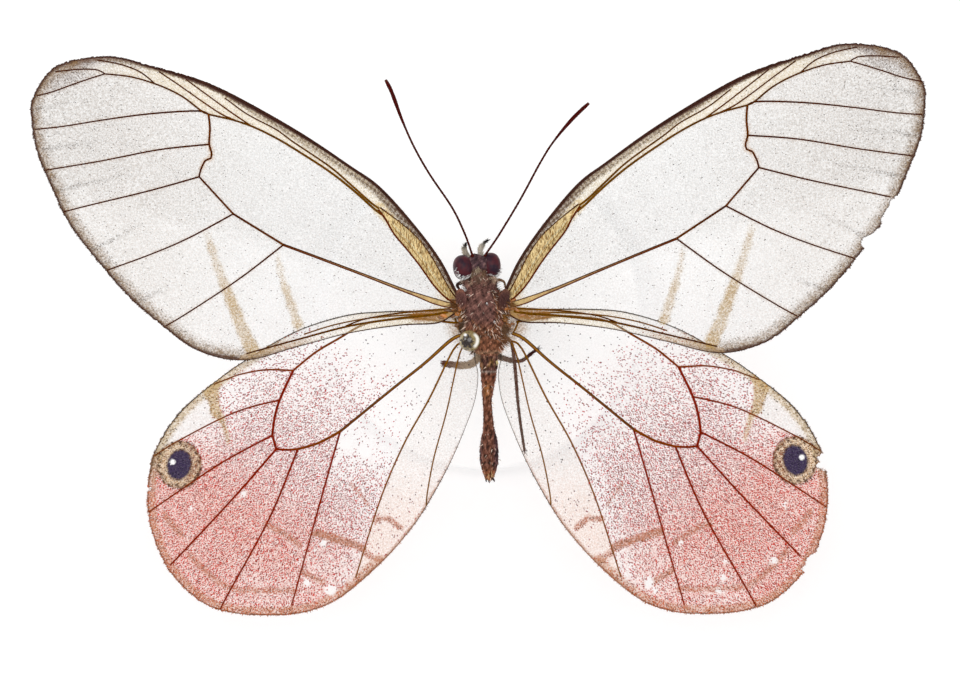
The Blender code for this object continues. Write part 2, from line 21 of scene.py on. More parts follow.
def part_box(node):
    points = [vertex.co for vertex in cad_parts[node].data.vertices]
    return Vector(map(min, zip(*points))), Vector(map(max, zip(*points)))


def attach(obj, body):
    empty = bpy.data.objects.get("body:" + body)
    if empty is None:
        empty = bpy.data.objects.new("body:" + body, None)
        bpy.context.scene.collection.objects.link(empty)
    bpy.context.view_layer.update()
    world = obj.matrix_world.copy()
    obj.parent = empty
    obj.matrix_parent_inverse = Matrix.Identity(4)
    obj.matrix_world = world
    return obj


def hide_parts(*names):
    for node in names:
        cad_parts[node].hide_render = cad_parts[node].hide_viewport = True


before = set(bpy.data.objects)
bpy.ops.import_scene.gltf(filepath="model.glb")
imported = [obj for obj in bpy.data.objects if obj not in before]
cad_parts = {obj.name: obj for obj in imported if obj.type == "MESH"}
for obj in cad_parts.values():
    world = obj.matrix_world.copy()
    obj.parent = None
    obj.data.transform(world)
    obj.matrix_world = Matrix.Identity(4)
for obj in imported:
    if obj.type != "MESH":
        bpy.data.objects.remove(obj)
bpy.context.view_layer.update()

LOG = logging.getLogger("satyr")
MM = 0.001

Rgb = tuple[float, float, float]
Feed = object
Rows = np.ndarray  # points, directions, colours or numbers, one a row
Run = tuple[Rows, Rows, Rows]  # a line's points, half widths and colours
Form = tuple[Rows, list]  # a closed form's points and faces
Piece = bpy.types.Object
Mesh = bpy.types.Mesh
Material = bpy.types.Material
Node = bpy.types.Node

SIDES = (("left", -1), ("right", 1))
UPWARDS = (0.0, 0.0, 1.0)

# Body: height of its axis and sections (y, centre x, centre z above the axis, half
# width, half height) from front to rear
AXIS_Z = 24.0
NECK = ((4.45, -0.65, -0.05, 1.15, 1.15), (3.65, -0.3, 0.0, 1.45, 1.4))
THORAX = (
    (3.35, -0.05, 0.0, 1.6, 1.55), (2.6, 0.0, 0.05, 2.3, 2.15), (1.6, 0.0, 0.1, 2.65, 2.45),
    (0.0, 0.0, 0.1, 2.8, 2.6), (-1.4, 0.05, 0.05, 2.7, 2.5), (-2.4, 0.1, 0.0, 2.5, 2.3),
    (-3.0, 0.15, 0.0, 2.25, 2.1),
)  # fmt: skip
METATHORAX = (
    (-3.3, 0.3, 0.0, 2.3, 2.05), (-4.1, 0.45, 0.0, 2.4, 2.05), (-4.8, 0.55, -0.05, 2.2, 1.85),
    (-5.25, 0.65, -0.05, 1.8, 1.6),
)  # fmt: skip
ABDOMEN = (
    (-5.55, 0.75, -0.1, 1.25, 1.3), (-6.6, 0.75, -0.15, 1.3, 1.35), (-8.8, 0.7, -0.3, 1.05, 1.2),
    (-11.4, 0.55, -0.5, 0.72, 0.95), (-13.4, 0.65, -0.65, 0.72, 0.95), (-15.3, 0.75, -0.8, 0.88, 1.05),
    (-16.8, 0.8, -0.9, 1.2, 1.3), (-18.6, 0.8, -1.05, 1.3, 1.4), (-20.2, 0.8, -1.15, 1.15, 1.2),
    (-21.3, 0.85, -1.2, 0.75, 0.8), (-21.9, 0.9, -1.2, 0.35, 0.4),
)  # fmt: skip
GAP = 0.3  # between a wing's edge and the body
WING_SPAN = 56.0

# Wings: outline points (out, fore, half width of the edge vein there)
FORE_OUTLINE = (
    (-1.0, -0.4, 0.2), (0.0, 0.0, 0.22), (2.3, 4.4, 0.2), (5.6, 8.9, 0.19), (10.1, 13.9, 0.19),
    (14.0, 16.7, 0.18), (20.5, 21.0, 0.21), (28.3, 25.4, 0.23), (33.5, 27.8, 0.2),
    (39.9, 29.7, 0.13), (44.9, 30.9, 0.1), (50.1, 30.3, 0.08), (52.9, 28.9, 0.07),
    (55.0, 25.4, 0.07), (55.1, 22.8, 0.07), (54.5, 18.9, 0.07), (52.7, 14.5, 0.07),
    (50.3, 9.5, 0.07), (46.7, 4.7, 0.07), (42.5, -0.1, 0.07), (38.0, -4.0, 0.07),
    (33.5, -7.1, 0.07), (27.6, -8.3, 0.07), (20.5, -6.5, 0.06), (14.0, -4.8, 0.06),
    (7.5, -3.8, 0.08), (2.7, -3.5, 0.1), (0.4, -2.3, 0.1), (-1.0, -2.0, 0.1),
)  # fmt: skip
HIND_OUTLINE = (
    (-2.0, 1.4, 0.1), (0.2, 1.8, 0.1), (4.5, 1.8, 0.08), (9.7, 1.7, 0.07), (14.3, 1.2, 0.07),
    (20.1, -0.6, 0.06), (25.3, -3.4, 0.06), (30.5, -6.9, 0.065), (35.7, -11.4, 0.07),
    (38.9, -16.5, 0.07), (39.8, -21.4, 0.06), (39.3, -26.6, 0.055), (37.0, -31.8, 0.055),
    (33.1, -35.7, 0.055), (29.2, -37.2, 0.055), (24.6, -37.6, 0.055), (19.5, -37.2, 0.055),
    (14.9, -35.3, 0.05), (9.7, -30.9, 0.05), (5.8, -26.5, 0.05), (3.2, -22.6, 0.05),
    (0.6, -17.8, 0.045), (-1.3, -13.4, 0.04), (-2.6, -9.7, 0.035), (-3.0, -6.5, 0.035),
    (-2.6, -4.4, 0.05), (-2.6, -3.2, 0.08),
)  # fmt: skip

# Screen colours, 0 to 255
DARK_EDGE = (76, 44, 34)
BROWN = (104, 38, 0)
TAN_BROWN = (150, 74, 0)
YELLOW_TAN = (226, 202, 150)
ORANGE_TAN = (196, 128, 98)
CLEAR = (206, 200, 190)
RED_VEIN = (168, 36, 0)
PUPIL = (58, 44, 76)
WHITE = (250, 248, 246)
PALE = (214, 205, 190)
PURPLE_BROWN = (112, 77, 70)
RED_BROWN = (126, 78, 56)
RUST = (150, 88, 48)
GOLD_BROWN = (168, 108, 0)


def linear(colour: Sequence[float]) -> Rows:
    """Turns screen values into scene-linear ones.

    Args:
        colour: Red, green and blue, 0 to 255, or rows of them.

    Returns:
        The same colours as light, 0 to 1.
    """
    value = np.asarray(colour, float) / 255
    return np.where(value <= 0.04045, value / 12.92, ((value + 0.055) / 1.055) ** 2.4)


def fade(value: Rows, start: float, end: float) -> Rows:
    """Rises smoothly from 0 to 1.

    Args:
        value: What the rise depends on.
        start: Where it is 0.
        end: Where it is 1, which may be below start.

    Returns:
        The share, 0 to 1.
    """
    share = np.clip((np.asarray(value, float) - start) / (end - start), 0, 1)
    return share * share * (3 - 2 * share)


def curve_through(points: Sequence[Sequence[float]], step: float) -> Rows:
    """Reads a smooth curve through control points.

    Args:
        points: Control points of any dimension.
        step: About how far apart the curve is read.

    Returns:
        The curve's points, one a row.
    """
    knots = np.asarray(points, float)
    padded = np.vstack([knots[:1], knots, knots[-1:]])
    found = []
    for before, start, end, after in zip(padded, padded[1:], padded[2:], padded[3:], strict=False):
        pieces = max(1, round(float(np.linalg.norm(end - start)) / step))
        t = (np.arange(pieces) / pieces)[:, None]
        bend = (2 * before - 5 * start + 4 * end - after) * t**2
        sway = (3 * start - before - 3 * end + after) * t**3
        found.append(0.5 * (2 * start + (end - before) * t + bend + sway))
    return np.vstack([*found, knots[-1:]])


def distance_to(places: Rows, line: Rows) -> tuple[Rows, Rows]:
    """Measures places against a line.

    Args:
        places: Points, one a row.
        line: The line's points, one a row.

    Returns:
        How far each place is from the line, and where along it, 0 to 1, it comes nearest.
    """
    best = np.full(len(places), 1e9)
    where = np.zeros(len(places))
    for index, (start, along) in enumerate(zip(line[:-1], np.diff(line, axis=0), strict=True)):
        t = np.clip((places - start) @ along / max(float(along @ along), 1e-12), 0, 1)
        away = np.linalg.norm(places - start - t[:, None] * along, axis=1)
        nearer = away < best
        best[nearer] = away[nearer]
        where[nearer] = (index + t[nearer]) / (len(line) - 1)
    return best, where


def ripple(x: Rows, y: Rows, size: float, seed: float = 0.0) -> Rows:
    """Gives a smooth, uneven pattern.

    Args:
        x: First measure of each place.
        y: Second measure of each place.
        size: About how wide its patches are.
        seed: Shifts the pattern.

    Returns:
        Values between about -1 and 1.
    """
    a, b = x / size, y / size
    return (
        np.sin(2.1 * a + 1.3 * b + seed) + np.sin(-1.7 * a + 2.4 * b + 2.3 * seed + 1)
        + np.sin(3.9 * a - 3.1 * b + 0.7 * seed) * 0.6 + np.sin(5.3 * a + 4.7 * b - seed) * 0.4
    ) / 3  # fmt: skip


def mixed(start: Rgb, end: Rgb, share: Rows) -> Rows:
    """Colours that go from one screen colour to another while share goes from 0 to 1."""
    share = np.asarray(share)[:, None]
    return linear(start) * (1 - share) + linear(end) * share


def laid(tints: Rows, colour: Rgb, amount: Rows) -> Rows:
    """Colours with a screen colour laid over each by its own amount, 0 to 1."""
    share = np.clip(amount, 0, 1)[:, None]
    return tints * (1 - share) + linear(colour) * share


def unit(rows: Rows) -> Rows:
    """The same directions, one long."""
    return rows / np.maximum(np.linalg.norm(rows, axis=1), 1e-9)[:, None]


def beside(line: Rows) -> Rows:
    """Which way is left at each point of a flat line."""
    ahead = np.gradient(line, axis=0)
    return unit(np.column_stack([-ahead[:, 1], ahead[:, 0]]))


# Node trees


class Tree:
    """Adds nodes to a shader or geometry tree and wires them."""

    def __init__(self, nodes: bpy.types.NodeTree) -> None:
        """Keeps the tree that is added to."""
        self.nodes = nodes

    def feed(self, node: Node, feeds: dict[str | int, Feed]) -> None:
        """Wires or sets a node's inputs.

        Args:
            node: The node.
            feeds: What goes in each input: a socket, a node whose first output is meant, or a value.
        """
        for name, value in feeds.items():
            if isinstance(value, Node):
                value = value.outputs[0]
            if isinstance(value, bpy.types.NodeSocket):
                self.nodes.links.new(value, node.inputs[name])
            else:
                node.inputs[name].default_value = value

    def add(self, kind: str, feeds: dict[str | int, Feed] | None = None, **settings: object) -> Node:
        """Adds one node.

        Args:
            kind: Its type in Blender.
            feeds: What goes in each input, as feed takes it.
            **settings: The node's own settings.

        Returns:
            The node.
        """
        made = self.nodes.nodes.new(kind)
        for name, value in settings.items():
            setattr(made, name, value)
        self.feed(made, feeds or {})
        return made

    def attribute(self, name: str, kind: str) -> Node:
        """Reads a named attribute in a geometry tree."""
        return self.add("GeometryNodeInputNamedAttribute", {"Name": name}, data_type=kind)

    def maths(self, operation: str, *values: Feed) -> Node:
        """Adds a Math node."""
        return self.add("ShaderNodeMath", dict(enumerate(values)), operation=operation)

    def vector(self, operation: str, *values: Feed) -> Node:
        """Adds a Vector Math node."""
        return self.add("ShaderNodeVectorMath", dict(enumerate(values)), operation=operation)

    def scaled(self, value: Feed, factor: Feed) -> Node:
        """Multiplies a vector or colour by a number."""
        return self.add("ShaderNodeVectorMath", {0: value, "Scale": factor}, operation="SCALE")

    def drawn(self, least: Feed, most: Feed, seed: Feed) -> Feed:
        """A random number for each point."""
        feeds = {2: least, 3: most, "Seed": seed}
        return self.add("FunctionNodeRandomValue", feeds, data_type="FLOAT").outputs[1]

    def kept(self, geometry: Feed, name: str, value: Feed, kind: str, domain: str) -> Node:
        """Stores a named attribute in a geometry tree."""
        feeds = {"Geometry": geometry, "Name": name, "Value": value}
        return self.add("GeometryNodeStoreNamedAttribute", feeds, data_type=kind, domain=domain)

    def tint(self) -> Node:
        """Reads the attribute tint in a material."""
        return self.add("ShaderNodeAttribute", attribute_name="tint", attribute_type="GEOMETRY")

    def mapped(self, value: Feed, start: tuple[float, float], end: tuple[float, float]) -> Node:
        """Carries one range of numbers over to another.

        Args:
            value: The number to carry over.
            start: Its lowest and highest value.
            end: What those become.

        Returns:
            The node.
        """
        names = ("From Min", "From Max", "To Min", "To Max")
        ends = dict(zip(names, (*start, *end), strict=True))
        return self.add("ShaderNodeMapRange", {"Value": value, **ends})

    def bump(self, height: Feed, strength: float, depth: float) -> Node:
        """Raises fine relief, its depth in millimetres."""
        return self.add("ShaderNodeBump", {"Height": height, "Strength": strength, "Distance": depth * MM})

    def ramp(self, factor: Feed, stops: Sequence[tuple[float, Rgb]]) -> Node:
        """Adds a colour ramp.

        Args:
            factor: What it follows.
            stops: Position and screen colour of each stop.

        Returns:
            The node.
        """
        made = self.add("ShaderNodeValToRGB", {"Fac": factor})
        elements = made.color_ramp.elements
        while len(elements) < len(stops):
            elements.new(0.5)
        for element, (position, colour) in zip(elements, stops, strict=True):
            element.position = position
            element.color = (*linear(colour), 1.0)
        return made


class Kind(Enum):
    """The sockets that a geometry tree's inputs may have."""

    SIZE = "NodeSocketFloat"
    NUMBER = "NodeSocketInt"
    VECTOR = "NodeSocketVector"
    OBJECT = "NodeSocketObject"
    FINISH = "NodeSocketMaterial"


class GeometryTree(Tree):
    """A geometry tree with named inputs, used through a modifier that is turned into a mesh."""

    def __init__(self, name: str, inputs: dict[str, Kind]) -> None:
        """Starts the tree.

        Args:
            name: Its name.
            inputs: Name and kind of each input besides the geometry.
        """
        super().__init__(bpy.data.node_groups.new(name, "GeometryNodeTree"))
        sockets = self.nodes.interface
        sockets.new_socket("Geometry", in_out="INPUT", socket_type="NodeSocketGeometry")
        for label, kind in inputs.items():
            sockets.new_socket(label, in_out="INPUT", socket_type=kind.value)
        sockets.new_socket("Geometry", in_out="OUTPUT", socket_type="NodeSocketGeometry")
        self.given = self.add("NodeGroupInput").outputs

    def end(self, geometry: Feed) -> None:
        """Realizes and finishes the geometry, and closes the tree."""
        self.close(self.add("GeometryNodeRealizeInstances", {"Geometry": geometry}))

    def close(self, realized: Feed) -> None:
        """Sets the finish on realized geometry as the tree's last step.

        Args:
            realized: The geometry.
        """
        feeds = {"Geometry": realized, "Material": self.given["Finish"]}
        dressed = self.add("GeometryNodeSetMaterial", feeds)
        self.add("NodeGroupOutput", {"Geometry": dressed})

    def make(self, name: str, base: Mesh, values: dict[str, Feed]) -> Piece:
        """Runs the tree on a mesh.

        Args:
            name: The new piece's name.
            base: What the tree works on.
            values: A value for each named input.

        Returns:
            The piece, a plain mesh object.
        """
        carrier = shown(name, base)
        change = carrier.modifiers.new("shape", "NODES")
        change.node_group = self.nodes
        for item in self.nodes.interface.items_tree:
            if item.in_out == "INPUT" and item.name in values:
                change[item.identifier] = values[item.name]
        carrier.data = plain_mesh(carrier)
        return carrier


PATCH = 0.003  # how wide a scale's or lock's own patch is in its piece's unwrap
LIGHT_SEED = 7


def plant(tree: GeometryTree, places: Feed) -> None:
    """Sets a shape on every place, turned along the attribute lie with its back to up.

    Args:
        tree: The tree, whose inputs name the shape, its sizes and its strays.
        places: Points with the attributes lie, up, size, tint and patch.
    """
    given = tree.given
    feeds = {0: (-1, -1, -1), 1: (1, 1, 1), "Seed": given["Seed"]}
    strays = tree.add("FunctionNodeRandomValue", feeds, data_type="FLOAT_VECTOR")
    bend = tree.vector("MULTIPLY", strays, given["Stray"])
    lie = tree.vector("ADD", tree.attribute("lie", "FLOAT_VECTOR"), bend)
    feeds = {"Primary Axis": lie, "Secondary Axis": tree.attribute("up", "FLOAT_VECTOR")}
    turn = tree.add("FunctionNodeAxesToRotation", feeds, primary_axis="Y", secondary_axis="Z")
    share = tree.drawn(given["Least"], given["Most"], given["Seed"])
    size = tree.maths("MULTIPLY", share, tree.attribute("size", "FLOAT"))
    light = tree.drawn(given["Darkest"], given["Lightest"], LIGHT_SEED)
    shade = tree.scaled(tree.attribute("tint", "FLOAT_COLOR"), light)
    tinted = tree.kept(places, "tint", shade, "FLOAT_COLOR", "POINT")
    shape = tree.add("GeometryNodeObjectInfo", {"Object": given["Shape"]})
    feeds = {"Points": tinted, "Instance": shape.outputs["Geometry"], "Rotation": turn,
             "Scale": tree.scaled(given["Proportions"], size)}  # fmt: skip
    set_out = tree.add("GeometryNodeInstanceOnPoints", feeds)
    realized = tree.add("GeometryNodeRealizeInstances", {"Geometry": set_out})
    spread = tree.scaled(tree.attribute("card", "FLOAT_VECTOR"), PATCH)
    unwrap = tree.vector("ADD", tree.attribute("patch", "FLOAT_VECTOR"), spread)
    tree.close(tree.kept(realized, "OFBake", unwrap, "FLOAT2", "CORNER"))


PLANT_INPUTS = {
    "Shape": Kind.OBJECT, "Proportions": Kind.VECTOR, "Least": Kind.SIZE, "Most": Kind.SIZE,
    "Stray": Kind.VECTOR, "Darkest": Kind.SIZE, "Lightest": Kind.SIZE, "Seed": Kind.NUMBER,
    "Finish": Kind.FINISH,
}  # fmt: skip


def scatter_tree() -> GeometryTree:
    """Shapes spread evenly over a surface, thinned by its attribute density.

    Returns:
        The tree.
    """
    inputs = {"Spacing": Kind.SIZE, "Density": Kind.SIZE, **PLANT_INPUTS}
    tree = GeometryTree("spread over a surface", inputs)
    spots = tree.add(
        "GeometryNodeDistributePointsOnFaces",
        {"Mesh": tree.given["Geometry"], "Distance Min": tree.given["Spacing"],
         "Density Max": tree.given["Density"], "Density Factor": tree.attribute("density", "FLOAT"),
         "Seed": tree.given["Seed"]},
        distribute_method="POISSON",
    )  # fmt: skip
    plant(tree, spots.outputs["Points"])
    return tree


def row_tree() -> GeometryTree:
    """Shapes set on the points of a mesh.

    Returns:
        The tree.
    """
    tree = GeometryTree("set on points", dict(PLANT_INPUTS))
    plant(tree, tree.given["Geometry"])
    return tree


def tube_tree() -> GeometryTree:
    """Tubes along a mesh's lines, as wide as its attribute girth says and flattened by an input.

    Returns:
        The tree.
    """
    inputs = {"Sides": Kind.NUMBER, "Flatness": Kind.VECTOR, "Finish": Kind.FINISH}
    tree = GeometryTree("tubes along lines", inputs)
    lines = tree.add("GeometryNodeMeshToCurve", {"Mesh": tree.given["Geometry"]})
    upright = tree.add("GeometryNodeSetCurveNormal", {"Curve": lines}, mode="Z_UP")
    ring = tree.add("GeometryNodeCurvePrimitiveCircle", {"Resolution": tree.given["Sides"], "Radius": 1.0})
    flat = tree.add("GeometryNodeTransform", {"Geometry": ring, "Scale": tree.given["Flatness"]})
    tube = tree.add("GeometryNodeCurveToMesh", {"Curve": upright, "Profile Curve": flat, "Fill Caps": True,
                                                "Scale": tree.attribute("girth", "FLOAT")})  # fmt: skip
    tree.end(tree.add("GeometryNodeSetShadeSmooth", {"Geometry": tube}))
    return tree


# Meshes


def mesh_from(name: str, places: Rows, faces: Sequence[Sequence[int]],
              edges: Sequence[Sequence[int]] = ()) -> Mesh:  # fmt: skip
    """Makes a mesh from points in millimetres.

    Args:
        name: Its name.
        places: Points, one a row.
        faces: Corners of each face.
        edges: Ends of each loose edge.

    Returns:
        The mesh, in metres.
    """
    mesh = bpy.data.meshes.new(name)
    mesh.from_pydata((np.asarray(places, float) * MM).tolist(), list(edges), list(faces))
    mesh.update()
    return mesh


def store(mesh: Mesh, name: str, values: Rows) -> None:
    """Writes one value, vector or colour for each point of a mesh, in place of what was there.

    Args:
        mesh: The mesh.
        name: The attribute's name.
        values: One row a point: one number, three, or four for a colour.
    """
    rows = np.asarray(values, float)
    wide = 1 if rows.ndim == 1 else rows.shape[1]
    kind, key = {1: ("FLOAT", "value"), 3: ("FLOAT_VECTOR", "vector"), 4: ("FLOAT_COLOR", "color")}[wide]
    known = mesh.attributes.get(name)
    if known is not None:
        mesh.attributes.remove(known)
    layer = mesh.attributes.new(name, kind, "POINT")
    layer.data.foreach_set(key, np.ascontiguousarray(rows, np.float32).ravel())


def with_alpha(colours: Rows, alpha: Rows | float = 1.0) -> Rows:
    """Colours as rows of four."""
    rows = np.atleast_2d(colours)
    return np.column_stack([rows, np.broadcast_to(alpha, len(rows))])


def places_of(mesh: Mesh) -> Rows:
    """A mesh's points in millimetres.

    Args:
        mesh: The mesh.

    Returns:
        One point a row.
    """
    flat = np.zeros(len(mesh.vertices) * 3, np.float32)
    mesh.vertices.foreach_get("co", flat)
    return flat.reshape(-1, 3).astype(float) / MM


def normals_of(mesh: Mesh) -> Rows:
    """The direction that each point of a mesh faces.

    Args:
        mesh: The mesh.

    Returns:
        One direction a row.
    """
    flat = np.zeros(len(mesh.vertices) * 3, np.float32)
    mesh.vertex_normals.foreach_get("vector", flat)
    return flat.reshape(-1, 3).astype(float)


def set_coat(mesh: Mesh, lie: Rows, up: Rows | Sequence[float], size: Rows | float,
             patch: Sequence[Rows | float], tint: Rows | None = None,
             density: Rows | float | None = None) -> None:  # fmt: skip
    """Says how a coat is planted on the points of a mesh.

    Args:
        mesh: The mesh.
        lie: Which way each tuft points.
        up: Which way its back faces.
        size: Its size against the coat's own.
        patch: Its place in the unwrap, across and along.
        tint: Its colour, unless the mesh has it.
        density: How much of the coat grows there, for a coat that is spread over a surface.
    """
    count = len(lie)
    store(mesh, "lie", lie)
    store(mesh, "up", np.broadcast_to(up, (count, 3)))
    store(mesh, "size", np.broadcast_to(size, count))
    across, along = (np.broadcast_to(part, count) for part in patch)
    store(mesh, "patch", np.column_stack([across, along, np.zeros(count)]))
    if tint is not None:
        store(mesh, "tint", with_alpha(np.broadcast_to(tint, (count, 3))))
    if density is not None:
        store(mesh, "density", np.broadcast_to(density, count))


def plain_mesh(carrier: Piece) -> Mesh:
    """The mesh that an object's modifiers make, which are then removed.

    Args:
        carrier: The object.

    Returns:
        A mesh without modifiers.
    """
    evaluated = carrier.evaluated_get(bpy.context.evaluated_depsgraph_get())
    mesh = bpy.data.meshes.new_from_object(evaluated)
    carrier.modifiers.clear()
    mesh.name = carrier.name
    return mesh


def joined(forms: Sequence[Form]) -> Form:
    """Several closed forms as one list of points and one of faces.

    Args:
        forms: The forms.

    Returns:
        All their points, and all their faces.
    """
    places, faces, first = [], [], 0
    for spots, corners in forms:
        places.append(spots)
        faces += [tuple(corner + first for corner in face) for face in corners]
        first += len(spots)
    return np.vstack(places), faces


def shown(name: str, mesh: Mesh, finish: Material | None = None) -> Piece:
    """Puts a mesh in the scene as one piece.

    Args:
        name: The piece's name.
        mesh: The mesh.
        finish: The material.

    Returns:
        The piece.
    """
    piece = bpy.data.objects.new(name, mesh)
    bpy.context.scene.collection.objects.link(piece)
    if finish is not None:
        mesh.materials.clear()
        mesh.materials.append(finish)
    return piece


def place(piece: Piece, slot: str, *nodes: str) -> Piece:
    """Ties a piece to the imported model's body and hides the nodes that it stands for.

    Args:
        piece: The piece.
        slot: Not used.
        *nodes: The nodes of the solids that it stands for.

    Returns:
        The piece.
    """
    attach(piece, "root")
    if nodes:
        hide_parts(*nodes)
    LOG.info("%s: %d faces", piece.name, len(piece.data.polygons))
    return piece


def unit_shape(name: str, places: Sequence[Sequence[float]],
               faces: Sequence[Sequence[int]]) -> Piece:  # fmt: skip
    """A small closed shape, root at the origin and tip at +Y, for planting.

    Args:
        name: Its name.
        places: Its points, one unit long.
        faces: Corners of each face.

    Returns:
        The shape, hidden, with the attribute card that says where a point is in its patch.
    """
    rows = np.asarray(places, float)
    mesh = mesh_from(name, rows / MM, faces)
    reach = np.ptp(rows, axis=0)
    reach[reach == 0] = 1
    card = (rows - rows.min(0)) / reach - 0.5
    card[:, 2] = 0
    store(mesh, "card", card)
    piece = shown(name, mesh)
    piece.hide_render = True
    return piece


def scale_shape() -> Piece:
    """A wing scale: a shovel with a slightly raised back.

    Returns:
        The shape, hidden.
    """
    rim = [
        (-0.12, 0, 0), (-0.5, 0.55, 0.1), (-0.32, 1, 0.2), (0.32, 1, 0.2), (0.5, 0.55, 0.1), (0.12, 0, 0),
    ]  # fmt: skip
    back = [(0, 0.55, 0.4)]
    top = [(index, (index + 1) % 6, 6) for index in range(6)]
    sole = [(5, 4, 1, 0), (4, 3, 2, 1)]
    return unit_shape("scale shape", rim + back, [tuple(reversed(face)) for face in top + sole])


def lock_shape() -> Piece:
    """A lock of hair: three-sided, bent back and drawn to a point.

    Returns:
        The shape, hidden.
    """
    rings = [
        [(-0.5, 0, -0.3), (0.5, 0, -0.3), (0, 0, 0.5)],
        [(-0.42, 0.45, 0.02), (0.42, 0.45, 0.02), (0, 0.5, 0.6)],
    ]
    places = rings[0] + rings[1] + [(0, 1, 0.05)]
    faces = [(0, 2, 1)]
    for index in range(3):
        after = (index + 1) % 3
        faces += [(index, after, 3 + after), (index, 3 + after, 3 + index), (3 + index, 3 + after, 6)]
    return unit_shape("lock shape", places, [tuple(reversed(face)) for face in faces])


def hair_shape() -> Piece:
    """One thin bristle: a slim three-sided spike."""
    places = [(-0.5, 0, -0.3), (0.5, 0, -0.3), (0, 0, 0.5), (0, 1, 0)]
    return unit_shape("hair shape", places, [(1, 2, 0), (3, 1, 0), (3, 2, 1), (3, 0, 2)])


def tube(name: str, runs: Sequence[Run], finish: Material, trees: "Trees", sides: int = 8,
         flatness: float = 1.0) -> Piece:  # fmt: skip
    """Sweeps tubes along lines.

    Args:
        name: The piece's name.
        runs: For each line its points, half widths and colours, all in millimetres.
        finish: The material.
        trees: The geometry trees.
        sides: How many sides a tube has.
        flatness: Height of the section over its width.

    Returns:
        The piece.
    """
    edges = []
    first = 0
    for points, _, _ in runs:
        edges += [(first + index, first + index + 1) for index in range(len(points) - 1)]
        first += len(points)
    base = mesh_from(name, np.vstack([run[0] for run in runs]), [], edges)
    store(base, "girth", np.concatenate([run[1] for run in runs]) * MM)
    store(base, "tint", with_alpha(np.vstack([run[2] for run in runs])))
    values = {"Sides": sides, "Flatness": (1.0, flatness, 1.0), "Finish": finish}
    return trees.tube.make(name, base, values)


@dataclass
class Trees:
    """The geometry trees and the small shapes they plant."""

    scatter: GeometryTree = field(default_factory=scatter_tree)
    row: GeometryTree = field(default_factory=row_tree)
    tube: GeometryTree = field(default_factory=tube_tree)
    scale: Piece = field(default_factory=scale_shape)
    lock: Piece = field(default_factory=lock_shape)
    hair: Piece = field(default_factory=hair_shape)

    def clear_away(self) -> None:
        """Removes the planted shapes once every piece is made."""
        for shape in (self.scale, self.lock, self.hair):
            bpy.data.objects.remove(shape)


@dataclass(frozen=True)
class Coat:
    """How one kind of scale or hair is planted."""

    shape: str  # scale, lock or hair
    proportions: tuple[float, float, float]  # width, length and height in millimetres
    least: float = 0.75
    most: float = 1.2
    stray: tuple[float, float, float] = (0.25, 0.25, 0.1)
    darkest: float = 0.7
    lightest: float = 1.2
    seed: int = 1
    spacing: float = 0.2  # closest that two stand, in millimetres
    density: float = 20.0  # most of them on a square millimetre

    def values(self, trees: Trees, finish: Material) -> dict[str, Feed]:
        """The inputs of a planting tree.

        Args:
            trees: The geometry trees and the shapes they plant.
            finish: The material.

        Returns:
            A value for each named input.
        """
        return {
            "Shape": getattr(trees, self.shape), "Proportions": tuple(size * MM for size in self.proportions),
            "Least": self.least, "Most": self.most, "Stray": self.stray, "Darkest": self.darkest,
            "Lightest": self.lightest, "Seed": self.seed, "Finish": finish,
            "Spacing": self.spacing * MM, "Density": self.density / MM**2,
        }  # fmt: skip

    def over(self, name: str, base: Mesh, trees: Trees, finish: Material) -> Piece:
        """Spreads the coat over a surface that has the attribute density."""
        return trees.scatter.make(name, base, self.values(trees, finish))

    def on(self, name: str, base: Mesh, trees: Trees, finish: Material) -> Piece:
        """Plants one on each point of a mesh."""
        return trees.row.make(name, base, self.values(trees, finish))


# Coats: shape, proportions, least, most, stray, darkest, lightest, seed, spacing, density
FORE_SCALES = Coat("scale", (0.07, 0.17, 0.03), 0.6, 1.3, (0.4, 0.4, 0.1), 0.6, 1.5, 1, 0.13, 45)
HIND_SCALES = Coat("scale", (0.135, 0.18, 0.035), 0.7, 1.3, (0.6, 0.6, 0.1), 0.4, 1.5, 1, 0.15, 44)
FRINGE_SCALES = Coat("lock", (0.07, 0.26, 0.04), 0.5, 1.2, (0.35, 0.35, 0.1))
DUST = Coat("lock", (0.13, 0.2, 0.1), 0.5, 1.3, (0.2, 0.2, 0.1))
TRUNK_HAIR = Coat("lock", (0.075, 0.55, 0.05), 0.5, 1.3, (0.2, 0.2, 0.15), 0.3, 1.3, 6, 0.12, 16)
BODY_HAIR = Coat("lock", (0.11, 0.55, 0.1), 0.6, 1.25, (0.34, 0.34, 0.24), 0.3, 2.1, 3, 0.11, 56)
GLINTS = Coat("lock", (0.17, 1.15, 0.13), 0.6, 1.2, (0.35, 0.35, 0.2), 0.2, 1.1, 17, 0.24, 9.0)
LIMB_SCALES = Coat("lock", (0.11, 0.42, 0.07), 0.6, 1.2, (0.22, 0.22, 0.15), 0.7, 1.2, 1, 0.09, 70)
LIMB_BRISTLES = Coat("hair", (0.045, 0.3, 0.045), 0.6, 1.3, (0.3, 0.3, 0.2), 0.5, 1.3, 1, 0.16, 22)
FEELER_BRISTLES = Coat("hair", (0.03, 0.12, 0.03), 0.6, 1.3, (0.3, 0.3, 0.2), 0.6, 1.3, 5, 0.1, 40)
TEGULA_SCALES = Coat("lock", (0.13, 0.5, 0.08), 0.6, 1.2, (0.25, 0.25, 0.15), 0.6, 1.4, 4, 0.1, 60)
BUNCHED_HAIR = Coat("lock", (0.07, 1.0, 0.06), 0.6, 1.15, (0.12, 0.12, 0.12), 0.85, 1.15, 8)
EYE_RIM_SCALES = Coat("lock", (0.1, 0.36, 0.07), 0.6, 1.2, (0.2, 0.2, 0.15), 0.85, 1.1, 9)


# Finishes

